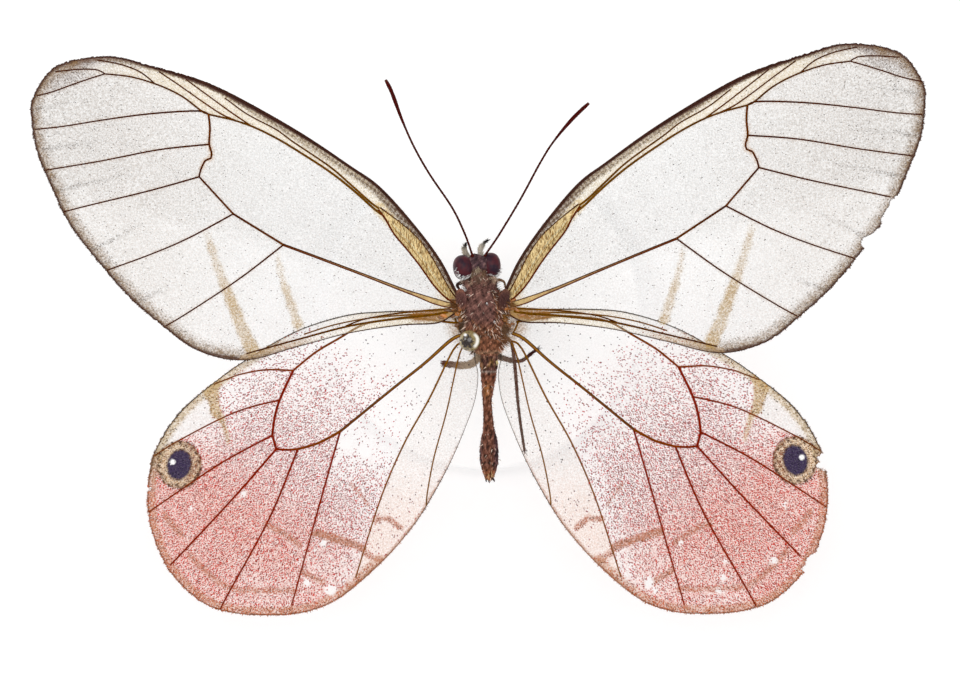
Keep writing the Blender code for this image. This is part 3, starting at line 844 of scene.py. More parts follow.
GRAIN_RANGE = (0.3, 0.7)  # where most of a noise's values lie
COAT_ROUGHNESS = 0.15


def new_material(name: str) -> tuple[Material, Tree, Node]:
    """A material with a Principled shader.

    Args:
        name: Its name.

    Returns:
        The material, its tree and its shader node.
    """
    material = bpy.data.materials.new(name)
    material.use_nodes = True
    tree = Tree(material.node_tree)
    return material, tree, material.node_tree.nodes["Principled BSDF"]


def object_noise(tree: Tree, per_mm: float, detail: float = 2.0,
                 stretch: tuple[float, float, float] = (1, 1, 1)) -> Node:  # fmt: skip
    """A noise on the object's own place.

    Args:
        tree: The material's tree.
        per_mm: How many patches fit on a millimetre.
        detail: Blender's detail.
        stretch: How much finer it is along each axis.

    Returns:
        The noise node.
    """
    where = tree.add("ShaderNodeTexCoord").outputs["Object"]
    mapped = tree.add("ShaderNodeMapping", {"Vector": where, "Scale": stretch})
    return tree.add("ShaderNodeTexNoise", {"Vector": mapped, "Scale": per_mm / MM, "Detail": detail})


@dataclass(frozen=True)
class Painted:
    """A finish that takes its colour from the attribute tint, broken up by a fine grain."""

    name: str
    roughness: float = 0.6
    specular: float = 0.4
    grain_per_mm: float = 6.0
    grain: tuple[float, float] = (0.75, 1.25)  # how far the grain darkens and lightens
    bump: float = 0.3
    bump_depth: float = 0.03  # millimetres
    coat: float = 0.0

    def material(self) -> Material:
        """Builds the material.

        Returns:
            The material.
        """
        material, tree, shader = new_material(self.name)
        noise = object_noise(tree, self.grain_per_mm, 3.0)
        grain = tree.mapped(noise, GRAIN_RANGE, self.grain)
        tree.feed(shader, {
            "Base Color": tree.scaled(tree.tint(), grain),
            "Normal": tree.bump(noise, self.bump, self.bump_depth),
            "Roughness": self.roughness, "Specular IOR Level": self.specular,
            "Coat Weight": self.coat, "Coat Roughness": COAT_ROUGHNESS,
        })  # fmt: skip
        return material


@dataclass(frozen=True)
class Membrane:
    """The clear skin of a wing: tint and cover from the attribute tint, speckled with fine hairs."""

    name: str
    roughness: float = 0.32
    specular: float = 0.06
    speckle_per_mm: float = 4.5
    speckle_range: tuple[float, float] = (0.35, 0.65)
    shade: tuple[float, float] = (0.86, 1.12)  # how far the speckle darkens and lightens
    cover: tuple[float, float] = (0.8, -0.8)  # and how far it covers and clears
    wrinkle_per_mm: float = 0.9
    wrinkle: tuple[float, float] = (0.25, 0.08)  # strength, and depth in millimetres

    def material(self) -> Material:
        """Builds the material.

        Returns:
            The material.
        """
        material, tree, shader = new_material(self.name)
        tint = tree.tint()
        speckle = object_noise(tree, self.speckle_per_mm, 2.0)
        shade = tree.mapped(speckle, self.speckle_range, self.shade)
        cover = tree.mapped(speckle, self.speckle_range, self.cover)
        clear = tree.maths("SUBTRACT", 1.0, tint.outputs["Alpha"])
        factor = tree.maths("ADD", tree.maths("MULTIPLY", cover, clear), 1.0)
        alpha = tree.maths("MULTIPLY", tint.outputs["Alpha"], factor)
        alpha.use_clamp = True
        wrinkles = object_noise(tree, self.wrinkle_per_mm, 3.0)
        tree.feed(shader, {
            "Base Color": tree.scaled(tint, shade), "Alpha": alpha,
            "Normal": tree.bump(wrinkles, *self.wrinkle),
            "Roughness": self.roughness, "Specular IOR Level": self.specular,
        })  # fmt: skip
        return material


@dataclass(frozen=True)
class CompoundEye:
    """Dark, glossy and faceted, with a red depth."""

    name: str
    facets_per_mm: float = 9.0
    facet_relief: tuple[float, float] = (0.5, 0.03)  # strength, and depth in millimetres
    clouds_per_mm: float = 0.9
    shadow: Rgb = (42, 26, 38)
    glow: Rgb = (88, 32, 36)
    roughness: float = 0.42
    specular: float = 0.12
    coat: float = 0.03

    def material(self) -> Material:
        """Builds the material.

        Returns:
            The material.
        """
        material, tree, shader = new_material(self.name)
        where = tree.add("ShaderNodeTexCoord").outputs["Object"]
        cells = tree.add("ShaderNodeTexVoronoi", {"Vector": where, "Scale": self.facets_per_mm / MM})
        clouds = object_noise(tree, self.clouds_per_mm, 3.0)
        dome = tree.maths("SUBTRACT", 1.0, cells.outputs["Distance"])
        tree.feed(shader, {
            "Base Color": tree.ramp(clouds, [(0.35, self.shadow), (0.7, self.glow)]),
            "Normal": tree.bump(dome, *self.facet_relief), "Roughness": self.roughness,
            "Specular IOR Level": self.specular, "Coat Weight": self.coat, "Coat Roughness": COAT_ROUGHNESS,
        })  # fmt: skip
        return material


@dataclass(frozen=True)
class Resin:
    """A clear, faintly yellow drop with a streaky inside."""

    name: str
    streaks_per_mm: float = 1.4
    relief: tuple[float, float] = (0.4, 0.12)  # strength, and depth in millimetres
    roughness: float = 0.12
    coat: float = 0.3
    coat_roughness: float = 0.05

    def material(self) -> Material:
        """Builds the material.

        Returns:
            The material.
        """
        material, tree, shader = new_material(self.name)
        tint = tree.tint()
        streaks = object_noise(tree, self.streaks_per_mm, 2.0)
        tree.feed(shader, {
            "Base Color": tint.outputs["Color"], "Alpha": tint.outputs["Alpha"],
            "Normal": tree.bump(streaks, *self.relief), "Roughness": self.roughness,
            "Coat Weight": self.coat, "Coat Roughness": self.coat_roughness,
        })  # fmt: skip
        return material


@dataclass(frozen=True)
class Plain:
    """A made surface: one colour with a fine, slightly uneven grain."""

    name: str
    light: Rgb
    dark: Rgb
    roughness: float
    metallic: float = 0.0
    grain_per_mm: float = 1.5
    stretch: tuple[float, float, float] = (1, 1, 1)
    bump: float = 0.08
    bump_depth: float = 0.05  # millimetres

    def material(self) -> Material:
        """Builds the material.

        Returns:
            The material.
        """
        material, tree, shader = new_material(self.name)
        noise = object_noise(tree, self.grain_per_mm, 4.0, self.stretch)
        tree.feed(shader, {
            "Base Color": tree.ramp(noise, [(0.3, self.dark), (0.7, self.light)]),
            "Normal": tree.bump(noise, self.bump, self.bump_depth),
            "Roughness": self.roughness, "Metallic": self.metallic,
        })  # fmt: skip
        return material


# Wings


GLOW = 0.42  # floor and base glow faintly: a painted glow that washes out the shadows cast on them


def add_painted_glow(finish: Material) -> None:
    """Makes a finish glow faintly: a painted glow that washes out the shadows cast on it.

    Args:
        finish: The material.
    """
    inputs = finish.node_tree.nodes["Principled BSDF"].inputs
    inputs["Emission Color"].default_value = (1.0, 1.0, 1.0, 1.0)
    inputs["Emission Strength"].default_value = GLOW


class WingKind(Enum):
    """Front or hind pair."""

    FORE = "fore"
    HIND = "hind"


@dataclass(frozen=True)
class Vein:
    """One vein: its course, half widths at its root and end, and colours there."""

    points: tuple[tuple[float, float], ...]
    root: float
    tip: float
    root_colour: Rgb = TAN_BROWN
    tip_colour: Rgb = BROWN


FORE_VEINS = (
    Vein(((10.0, 11.2), (11.2, 12.0), (14.0, 14.5), (16.7, 16.8), (21.3, 19.9), (23.5, 21.5), (26.2, 22.9),
          (27.9, 23.9), (29.1, 24.8), (30.2, 25.6)), 0.11, 0.06, GOLD_BROWN),
    Vein(((9.8, 10.5), (10.9, 11.3), (13.7, 13.8), (16.8, 16.2), (20.5, 18.6), (23.5, 20.4), (26.6, 21.9),
          (29.3, 22.8), (32.3, 23.5), (33.3, 24.0), (35.7, 25.8), (38.6, 27.2), (42.2, 28.3), (45.7, 28.7)),
         0.12, 0.075, GOLD_BROWN),
    Vein(((45.7, 28.7), (46.6, 29.2), (48.7, 29.3), (52.1, 29.0)), 0.07, 0.05, BROWN),
    Vein(((45.7, 28.7), (47.9, 28.0), (50.2, 27.2), (52.4, 26.4), (54.8, 25.8)), 0.07, 0.05, BROWN),
    Vein(((26.8, 22.0), (29.3, 23.7), (31.1, 25.0), (33.3, 26.6), (35.2, 28.0)), 0.08, 0.06),
    Vein(((28.8, 22.7), (30.6, 23.5), (32.6, 24.8), (34.6, 26.2), (36.6, 27.6), (38.7, 29.0)), 0.08, 0.06),
    Vein(((39.2, 27.4), (40.2, 28.3), (41.4, 29.1), (43.2, 29.8), (44.9, 30.2), (46.7, 30.5)), 0.07, 0.05,
         BROWN),
    Vein(((32.3, 23.6), (32.1, 21.7), (32.2, 19.6), (31.9, 18.6), (32.0, 17.8), (32.7, 17.5), (33.3, 16.3),
          (33.5, 15.4)), 0.11, 0.09, TAN_BROWN, BROWN),
    Vein(((32.3, 23.5), (33.4, 23.9), (36.7, 23.8), (41.2, 23.4), (46.2, 22.7), (51.2, 21.9), (55.0, 21.5)),
         0.09, 0.06, BROWN),
    Vein(((32.2, 19.6), (38.7, 18.9), (46.4, 17.4), (53.6, 16.2)), 0.085, 0.06, BROWN),
    Vein(((33.5, 15.4), (39.9, 13.6), (47.7, 11.7), (51.2, 10.8)), 0.085, 0.06, BROWN),
    Vein(((22.6, 6.6), (29.1, 10.6)), 0.11, 0.1, TAN_BROWN),
    Vein(((29.1, 10.6), (33.5, 15.4)), 0.1, 0.09, TAN_BROWN),
    Vein(((29.1, 10.6), (34.8, 7.5), (39.9, 5.3), (45.4, 3.3)), 0.085, 0.06, BROWN),
    Vein(((22.6, 6.6), (28.3, 2.2), (34.8, -2.1), (37.8, -3.9)), 0.085, 0.06, BROWN),
    Vein(((1.3, -2.1), (3.6, -2.5), (7.5, -2.9), (14.0, -3.9), (20.5, -5.6), (27.4, -7.5)), 0.13, 0.07,
         GOLD_BROWN),
    Vein(((1.0, -1.7), (4.0, -1.9), (8.0, -2.3), (12.0, -3.0), (14.5, -3.9)), 0.1, 0.06, GOLD_BROWN),
)  # fmt: skip
HIND_VEINS = (
    Vein(((0.6, 1.1), (4.1, 1.4), (9.2, 1.1), (12.5, 0.7), (16.2, -0.1), (19.6, -1.2)), 0.1, 0.05, GOLD_BROWN,
         GOLD_BROWN),
    Vein(((-0.5, 0.3), (1.0, 0.4), (5.1, 0.9), (8.5, 0.7), (11.8, 0.1), (15.2, -1.8), (18.2, -3.6),
          (21.0, -5.9)), 0.11, 0.1, GOLD_BROWN, (168, 66, 8)),
    Vein(((21.0, -5.9), (24.6, -5.8), (27.9, -6.4), (29.3, -6.9), (31.3, -7.7)), 0.09, 0.06, (168, 76, 10),
         TAN_BROWN),
    Vein(((21.0, -5.9), (22.7, -9.6), (23.4, -12.0), (23.7, -14.3)), 0.12, 0.12, RED_VEIN, RED_VEIN),
    Vein(((23.7, -14.3), (23.2, -16.1)), 0.12, 0.12, RED_VEIN, RED_VEIN),
    Vein(((23.2, -16.1), (21.8, -16.2), (20.4, -16.1)), 0.11, 0.11, RED_VEIN, (164, 70, 8)),
    Vein(((20.4, -16.1), (17.7, -15.3), (14.9, -13.8)), 0.12, 0.13, (164, 70, 8), (164, 84, 10)),
    Vein(((22.7, -9.7), (28.5, -11.3), (35.7, -14.9), (39.2, -17.1)), 0.085, 0.06, (160, 52, 8), TAN_BROWN),
    Vein(((23.7, -14.3), (30.5, -18.0), (38.5, -23.4), (39.8, -24.3)), 0.095, 0.07, RED_VEIN, (164, 62, 14)),
    Vein(((23.2, -16.1), (28.9, -22.6), (36.2, -30.4), (37.5, -31.5)), 0.1, 0.08, RED_VEIN, (168, 48, 12)),
    Vein(((20.4, -16.1), (24.0, -24.9), (29.6, -35.2), (30.5, -37.0)), 0.1, 0.08, RED_VEIN, (168, 48, 12)),
    Vein(((14.9, -13.8), (17.3, -22.3), (21.2, -36.4), (21.4, -37.5)), 0.095, 0.07, RED_VEIN, (168, 54, 14)),
    Vein(((-1.2, -2.2), (0.2, -3.2), (3.3, -9.5), (6.7, -15.6), (9.7, -22.7), (12.9, -32.8)), 0.1, 0.06,
         GOLD_BROWN, (168, 102, 30)),
    Vein(((-1.2, -2.4), (-0.4, -4.5), (1.1, -11.3), (2.7, -17.1), (3.6, -21.9), (3.7, -23.4)), 0.08, 0.045,
         GOLD_BROWN, (170, 116, 40)),
    Vein(((0.0, 0.9), (-0.5, -0.4), (-1.1, -1.4)), 0.1, 0.08, GOLD_BROWN, GOLD_BROWN),
)  # fmt: skip

# The forewing's swollen vein at its base: out, fore, half width
SPINDLE = (
    (0.4, -0.6, 0.34), (1.4, 0.34, 0.54), (2.55, 1.88, 0.76), (4.25, 4.56, 0.93), (5.8, 6.6, 0.98),
    (7.6, 8.5, 0.82), (9.0, 10.1, 0.42), (10.2, 11.3, 0.16),
)  # fmt: skip


@dataclass(frozen=True)
class Trunk:
    """A thick straw-coloured vein between two brown edges."""

    table: tuple[tuple[float, float, float], ...]  # out, fore, half width
    edge: float  # half width of its edges
    root_colour: Rgb
    tip_colour: Rgb
    haired: bool = False


FORE_TRUNKS = (
    Trunk(SPINDLE, 0.11, (208, 182, 128), (222, 198, 146), True),
    Trunk(((0.2, -1.3, 0.22), (1.6, -1.1, 0.32), (3.2, -0.65, 0.33), (5.0, 0.0, 0.23), (7.5, 0.9, 0.16),
           (12.7, 2.9, 0.12), (18.0, 4.9, 0.11), (22.6, 6.6, 0.1)), 0.07, (216, 188, 132), (112, 48, 0)),
)  # fmt: skip
HIND_TRUNKS = (
    Trunk(((-1.0, -1.2, 0.16), (0.6, -2.0, 0.18), (4.0, -5.0, 0.14), (8.4, -8.5, 0.12), (14.9, -13.8, 0.12)),
          0.05, (150, 104, 24), (110, 54, 0)),
)  # fmt: skip
FORE_BANDS = (
    # course, half width, strength
    (((32.4, 7.8), (31.4, 4.6), (30.2, 1.4), (28.9, -1.8), (27.9, -4.4), (26.7, -6.8)), 0.72, 0.85),
    (((23.4, 5.3), (22.7, 2.1), (21.7, -0.8), (20.7, -3.8)), 0.5, 0.7),
)  # fmt: skip
FORE_FOLDS = (
    ((54.5, 24.2), (47.1, 25.7)), ((53.7, 18.9), (44.1, 20.3)), ((51.8, 13.6), (39.9, 16.5)),
    ((47.4, 5.8), (39.3, 10.2)), ((41.5, -0.7), (35.4, 2.1)),
)  # fmt: skip
HIND_BANDS = (
    # course, half width, strength
    (((24.6, -25.9), (22.3, -27.0), (20.1, -28.5)), 0.36, 0.7),
    (((18.1, -27.0), (14.9, -27.9), (12.0, -28.9)), 0.5, 1.0),
    (((10.4, -25.3), (8.7, -25.1), (7.1, -26.3)), 0.36, 0.8),
    (((11.7, -29.6), (10.0, -30.5)), 0.4, 0.7),
    (((37.6, -24.6), (36.7, -25.9), (35.4, -27.2)), 0.4, 0.7),
    (((34.4, -29.8), (31.8, -32.4), (29.2, -34.1), (25.3, -34.4), (20.7, -34.4)), 0.36, 0.7),
    (((19.7, -32.0), (18.5, -32.7), (17.2, -33.3)), 0.36, 0.8),
    (((13.3, -20.7), (11.3, -23.3)), 0.22, 0.6),
)  # fmt: skip
HIND_WEDGE = (  # out, fore, half width
    (31.9, -6.9, 1.6), (31.4, -9.4, 0.85), (30.95, -11.3, 0.75), (30.1, -12.6, 0.42), (29.35, -15.3, 0.3),
)  # fmt: skip
SECOND_ANAL = ((0.4, -3.0), (3.3, -9.5), (6.7, -15.6), (9.7, -22.7), (12.9, -32.6))
EYESPOT = (35.75, -18.1)
EYESPOT_HALF = (1.55, 1.92)
EYESPOT_RING = 2.88
GLINT = (36.6, -17.75)
WORN_SPOTS = (  # out, fore, reach, share of the rose that is lost
    (31.2, -12.4, 4.2, 0.45), (16.4, -32.3, 5.2, 0.34), (25.5, -35.2, 5.0, 0.26),
)  # fmt: skip
BARE_SPOTS = {  # out, fore, radius
    "hindwing_left": ((34.2, -23.7, 0.35), (17.1, -28.3, 0.5), (27.5, -22.0, 0.45), (18.2, -29.2, 0.3),
                      (16.1, -34.4, 0.8), (19.2, -33.4, 0.6), (14.1, -15.5, 0.7), (11.7, -16.4, 0.8)),
    "hindwing_right": ((34.3, -23.8, 0.45), (20.9, -28.5, 0.4), (26.5, -30.8, 0.35), (26.2, -33.0, 0.45),
                       (25.6, -34.8, 0.4), (16.6, -33.6, 0.8), (17.4, -34.6, 0.4), (32.8, -31.0, 0.6)),
}  # fmt: skip

MESH_STEP = 0.28
FINE_STEP = 0.14
FINE_BAND = 1.5  # along the margins
RIM_STEP = 0.16
VEIN_STEP = 0.45
VEIN_SWELL = 1.36
THINNEST_VEIN = 0.094
SHEET = 0.06  # the membrane's thickness
SIDE_SPREAD = 20.0
ROOT_OVERLAP = 0.5  # how far a wing's root reaches into the skin
SPECK_COUNT = 150
DUST_COLOUR = (44, 36, 34)
TRUNK_HAIR_COLOUR = (156, 112, 52)
TRUNK_FLATNESS = 0.42
TRUNK_TOP = 0.4  # where the trunk's own lines lie, against its half width
VEIN_FLATNESS = 0.7
SPOTS_PER_UNWRAP = (64, 75)  # the wing's own measures that the unwrap spans
UNWRAP_START = (-6, -40)
LINE_LIFT = 0.11  # of the brown lines beside the trunks
GLOSS_LINES = {-0.45: (190, 150, 84), -0.12: (255, 250, 214), 0.3: (190, 150, 84)}  # a painted highlight on the swollen vein: a near-white line between two darker ones


@dataclass(frozen=True)
class Pair:
    """What the two wings of a pair have in common."""

    outline: tuple[tuple[float, float, float], ...]
    veins: tuple[Vein, ...]
    trunks: tuple[Trunk, ...]
    slot: str
    level: float  # height of the hinge above the body axis
    rise: float  # climb for each millimetre outwards
    droop: float  # how far the tip hangs below that line
    vein_light: float  # brightness of the veins against their table
    under: float  # share of the scales that the underside has
    fringe_size: float
    coat: Coat


PAIRS = {
    WingKind.FORE: Pair(FORE_OUTLINE, FORE_VEINS, FORE_TRUNKS, "clear_wing", level=0.8, rise=0.055, droop=1.2,
                        vein_light=0.6, under=0.5, fringe_size=0.75, coat=FORE_SCALES),
    WingKind.HIND: Pair(HIND_OUTLINE, HIND_VEINS, HIND_TRUNKS, "pink_wing", level=-0.55, rise=0.04, droop=1.0,
                        vein_light=0.78, under=0.25, fringe_size=0.85, coat=HIND_SCALES),
}  # fmt: skip


def wing_patch(spots: Rows) -> tuple[Rows, Rows]:
    """Where points of a wing lie in its unwrap, across and along."""
    return tuple((spots[:, axis] - UNWRAP_START[axis]) / SPOTS_PER_UNWRAP[axis] for axis in (0, 1))


class Paint:
    """Colours laid one over the other on the points of a wing."""

    def __init__(self, count: int) -> None:
        """Starts with nothing on any point."""
        self.colour = np.tile(linear(CLEAR), (count, 1))
        self.cover = np.zeros(count)

    def lay(self, colour: Rgb, amount: Rows | float) -> None:
        """Lays a colour over what is there.

        Args:
            colour: Its screen values.
            amount: How much of each point it hides, 0 to 1.
        """
        amount = np.broadcast_to(np.clip(amount, 0, 1), self.cover.shape)
        cover = amount + self.cover * (1 - amount)
        share = (amount / np.maximum(cover, 1e-6))[:, None]
        self.colour = linear(colour) * share + self.colour * (1 - share)
        self.cover = cover

    def wipe(self, amount: Rows) -> None:
        """Takes colour off again."""
        self.cover = self.cover * (1 - np.clip(amount, 0, 1))


@dataclass
class Wing:
    """One wing: membrane, veins, edge, scales and fringe."""

    name: str
    kind: WingKind
    side: int  # -1 for the left, 1 for the right
    hinge: tuple[float, float]
    turn: float = 0.0  # how far it is swung forward
    growth: float = 1.0  # its size against the outline's table
    spread: float = 0.0  # how much further out its root lies
    bites: tuple[tuple[tuple[float, float], ...], ...] = ()
    seed: int = 1

    @property
    def pair(self) -> Pair:
        """What it shares with the wing on the other side."""
        return PAIRS[self.kind]

    def to_plan(self, spots: Rows) -> Rows:
        """Plan positions of points given by the wing's own measures.

        Args:
            spots: Points in the wing's own measures.

        Returns:
            The same points as x and y in the solids' frame.
        """
        out = spots[:, 0] + self.spread * np.maximum(0, 1 - spots[:, 0] / SIDE_SPREAD)
        fore = spots[:, 1]
        along = self.growth * (out * math.cos(self.turn) - fore * math.sin(self.turn))
        ahead = self.growth * (out * math.sin(self.turn) + fore * math.cos(self.turn))
        return np.column_stack([self.hinge[0] + self.side * along, self.hinge[1] + ahead])

    def from_plan(self, spots: Rows) -> Rows:
        """The wing's own measures of plan positions.

        Args:
            spots: Points as x and y in the solids' frame.

        Returns:
            The same points as distances out and forward.
        """
        along = self.side * (spots[:, 0] - self.hinge[0]) / self.growth
        ahead = (spots[:, 1] - self.hinge[1]) / self.growth
        out = along * math.cos(self.turn) + ahead * math.sin(self.turn)
        out = np.where(out < SIDE_SPREAD, (out - self.spread) / (1 - self.spread / SIDE_SPREAD), out)
        return np.column_stack([out, ahead * math.cos(self.turn) - along * math.sin(self.turn)])

    def height(self, spots: Rows) -> Rows:
        """Height of the middle of the sheet, with its shallow pleats, above the floor.

        Args:
            spots: Points in the wing's own measures.

        Returns:
            A height for each point.
        """
        out = spots[:, 0]
        pair = self.pair
        rise = AXIS_Z + pair.level + pair.rise * out - pair.droop * (np.maximum(out, 0) / WING_SPAN) ** 2
        reach = np.hypot(out, spots[:, 1])
        angle = np.arctan2(spots[:, 1], out + 4)
        return rise + 0.1 * np.sin(14 * angle) * fade(reach, 5, 20)

    def in_space(self, spots: Rows, lift: float | Rows = 0.0) -> Rows:
        """Points in space of a wing's own measures, lifted off the sheet's middle."""
        return np.column_stack([self.to_plan(spots), self.height(spots) + lift])

    def rim(self) -> Rows:
        """The outline with its bites, clear of the body: out, fore and half width of the edge.

        Returns:
            One point of the outline a row.
        """
        run = curve_through(self.pair.outline, RIM_STEP)
        for bite in self.bites:
            tear = curve_through([(*spot, 0.03) for spot in bite], 0.2)
            first, last = (int(np.argmin(np.hypot(*(run[:, :2] - tear[end, :2]).T))) for end in (0, -1))
            run = np.vstack([run[:first], tear, run[last + 1 :]])
        plan = self.to_plan(run[:, :2])
        edge = body_edge(plan[:, 1], self.side) - GAP - ROOT_OVERLAP * fade(plan[:, 1], -6.5, -5)
        plan[:, 0] = self.side * np.maximum(self.side * plan[:, 0], edge)
        run[:, :2] = self.from_plan(plan)
        ragged = fade(run[:, 0], 25, 40)[:, None] * 0.05
        shifts = np.random.default_rng(self.seed).normal(0, 1, (len(run), 2)) * ragged
        run[:, :2] += shifts.clip(-0.1, 0.1)
        return run

    def margins(self, spots: Rows, *spans: tuple[int, int | None]) -> list[Rows]:
        """How far points are from parts of the outline.

        Args:
            spots: Points in the wing's own measures.
            *spans: First and last corner of each part.

        Returns:
            A distance for each point, a list for each part.
        """
        table = [corner[:2] for corner in self.pair.outline]
        return [distance_to(spots, curve_through(table[slice(*span)], 1))[0] for span in spans]

    def paint(self, spots: Rows) -> tuple[Paint, Rows, Rows]:
        """The wing's markings.

        Args:
            spots: Points in the wing's own measures.

        Returns:
            The membrane's paint, how densely scales stand at each point and their colour.
        """
        return self.fore_paint(spots) if self.kind is WingKind.FORE else self.hind_paint(spots)

    def fore_paint(self, spots: Rows) -> tuple[Paint, Rows, Rows]:
        """The forewing's markings, as paint describes.

        Args:
            spots: Points in the wing's own measures.

        Returns:
            The membrane's paint, and the scales' density and colour.
        """
        out, fore = spots.T
        paint = Paint(len(spots))
        to_costa, to_outer, to_inner = self.margins(spots, (1, 12), (11, 23), (22, None))
        patchy = ripple(out, fore, 2.2, self.seed)
        fine = ripple(out, fore, 0.7, self.seed + 3)
        paint.lay((98, 86, 66), 0.16 + 0.02 * patchy - 0.075 * fade(fore - 0.28 * out, 1, -2))
        paint.lay((150, 112, 56), fade(out, 22, 44) * 0.14)
        paint.lay((92, 78, 62), fade(out, 38, 52) * fade(fore, 8, 24) * 0.06)
        density = 0.028 + 0.05 * fade(out, 34, 54)
        tints = np.tile(linear((74, 62, 54)), (len(spots), 1))

        halo = np.full(len(spots), 9.0)
        for vein in FORE_VEINS:
            away, _ = distance_to(spots, curve_through(vein.points, 2))
            halo = np.minimum(halo, away)
        paint.lay((170, 120, 50), fade(halo, 0.4, 0.08) * 0.2)
        cross, along = distance_to(spots, curve_through(FORE_VEINS[7].points, 1))
        paint.lay((196, 140, 60), fade(cross, 0.55, 0.1) * 0.35 * fade(np.abs(along - 0.62), 0.5, 0.1))

        above = fade(fore - np.interp(out, *zip(*FORE_VEINS[1].points, strict=True)), -0.1, 0.1)
        above *= fade(out, 8, 10.5)
        paint.lay((238, 214, 158), above * fade(out, 52, 36) * 0.3)
        solid = np.interp(out, (0, 3, 9, 13, 17, 20.5, 27, 35, 38.6, 44, 48, 51, 54),
                          (0.5, 0.4, 0.34, 0.26, 0.28, 0.38, 0.5, 0.46, 0.32, 0.24, 0.2, 0.14, 0.1)) - 0.12
        grains = np.interp(out, (1, 4, 9, 13, 20, 25, 29, 33, 48),
                           (0.6, 0.95, 1.15, 1.2, 1.1, 0.75, 0.4, 0.25, 0.5))
        strip = fade(to_costa - solid, grains, grains * 0.35) * fade(out, 54, 47)
        paint.lay((214, 190, 150), strip * 0.5)
        coarse = fade(ripple(out, fore, 0.24, self.seed + 21), -0.3, 0.4)
        near = fade(out, 16, 8)
        paint.lay((98, 74, 54), np.clip(strip * (1 + 0.6 * near), 0, 1) * (0.25 + 0.25 * near + 0.5 * coarse))
        paint.lay(DARK_EDGE, fade(to_costa, solid + 0.12, solid) * fade(fore - 0.3 * out, 4, 9) * 0.97)
        apex = fade(to_outer, 4.2, 1.2) * fade(fore, 25.0, 28.0) * fade(out, 40, 48)
        tip = fade(to_costa, 1.3, 0.15) * fade(out, 38, 46)
        paint.lay((122, 98, 88), apex * (0.32 + 0.12 * patchy))
        paint.lay((104, 74, 62), tip * 0.6)
        outer_band = fade(to_outer, 2.0, 0.1) * (0.8 + 0.2 * fine)
        paint.lay((140, 108, 66), outer_band * 0.88)
        paint.lay((80, 50, 34), fade(to_outer, 0.45, 0.05) * 0.9)
        paint.lay((188, 156, 116), fade(to_inner, 0.9, 0.5) * fade(out, 17, 21) * 0.55)
        paint.lay((110, 88, 70), fade(to_inner, 0.25, 0.02) * 0.5)
        paint.lay((232, 212, 168), fade(to_inner, 1.3, 0.5) * fade(out, 22, 10) * 0.35)
        folds = np.zeros(len(spots))
        for course in FORE_FOLDS:
            away, along = distance_to(spots, np.asarray(course))
            folds = np.maximum(folds, fade(away, 0.5, 0.05) * (1 - along) ** 1.1)
        paint.lay((84, 74, 64), folds * 0.3 * (0.75 + 0.35 * fine))
        density += folds * 0.3
        band = np.zeros(len(spots))
        for course, half, strength in FORE_BANDS:
            away, along = distance_to(spots + 0.25 * fine[:, None], curve_through(course, 1))
            grow = half * (0.6 + 0.65 * along)
            ends = fade(along, -0.02, 0.1) * (0.55 + 0.45 * along + 0.18 * np.sin(along * 11 + 2))
            band = np.maximum(band, fade(away, grow + 0.3, grow - 0.3) * strength * np.clip(ends, 0.25, 1))
        paint.lay((188, 154, 88), band * 0.78)
        blob, _ = distance_to(spots, np.array(((1.2, -2.5), (3.4, -2.6), (5.4, -2.7))))
        paint.lay((150, 98, 36), fade(blob, 1.0, 0.35) * 0.8)
        paint.lay((214, 180, 116), fade(np.hypot(out - 0.5, fore + 1), 3.4, 0.8) * 0.45)
        to_spindle, _ = distance_to(spots, np.asarray(SPINDLE)[:, :2])
        paint.lay(YELLOW_TAN, fade(to_spindle, 1.0, 0.6) * 0.6)

        dark = np.maximum(fade(to_costa, solid + 0.16, solid - 0.02), fade(to_outer, 0.42, 0.08) * 0.9)
        dusky = np.maximum(np.maximum(apex * 0.42, tip * 0.7), np.maximum(strip * 0.62, outer_band * 0.6))
        density = np.clip(density + dark + dusky + band * 0.5, 0, 1)
        for colour, amount in (((160, 122, 66), band), ((84, 62, 50), dusky * 1.4), (DARK_EDGE, dark)):
            tints = laid(tints, colour, amount)
        return paint, density, tints

    def hind_paint(self, spots: Rows) -> tuple[Paint, Rows, Rows]:
        """The hindwing's markings, as paint describes.

        Args:
            spots: Points in the wing's own measures.

        Returns:
            The membrane's paint, and the scales' density and colour.
        """
        out, fore = spots.T
        paint = Paint(len(spots))
        to_costa, to_outer, to_inner = self.margins(spots, (1, 11), (9, 19), (17, None))
        patchy = ripple(out, fore, 2.6, self.seed)
        fine = ripple(out, fore, 0.8, self.seed + 5)

        rose = np.clip((out * 0.42 - fore * 0.9 - 7.4) / 15, 0, 1) * (1 + 0.12 * patchy)
        last_cell = fade(out - 15.1 + (fore + 14.1) * 0.233, 0.25, -0.25)
        last_cell *= fade(fore + 1.2 + 0.85 * out, 0.15, -0.25)
        bare, from_fore = (0.85, -23) if self.side < 0 else (0.6, -18)
        rose *= 1 - bare * last_cell * fade(fore, from_fore, from_fore + 8)
        rose *= 1 - 0.5 * fade(fore, -12.5, -8) * fade(out, 23, 29)
        anal = np.interp(-fore, [-spot[1] for spot in SECOND_ANAL], [spot[0] for spot in SECOND_ANAL])
        inside = fade(out - anal, 0.25, -0.25)
        rose *= 1 - (0.35 if self.side < 0 else 0.55) * fade(out - anal, 3.8, 0.4)
        for x, y, size, share in WORN_SPOTS:
            rose *= 1 - share * np.exp(-((out - x) ** 2 + (fore - y) ** 2) / size**2)
        rose *= 1 - inside * (1 - 0.03 - 0.09 * fade(fore, -18, -30))
        window = fade(out, 30.6, 31.6) * fade(fore - (-11.4 - (out - 28.6) * 0.5), -0.3, 0.3)
        rose *= 1 - window
        deep = fade(out * 0.6 - fore * 0.8, 24, 38)
        rose = np.clip(rose, 0, 1)

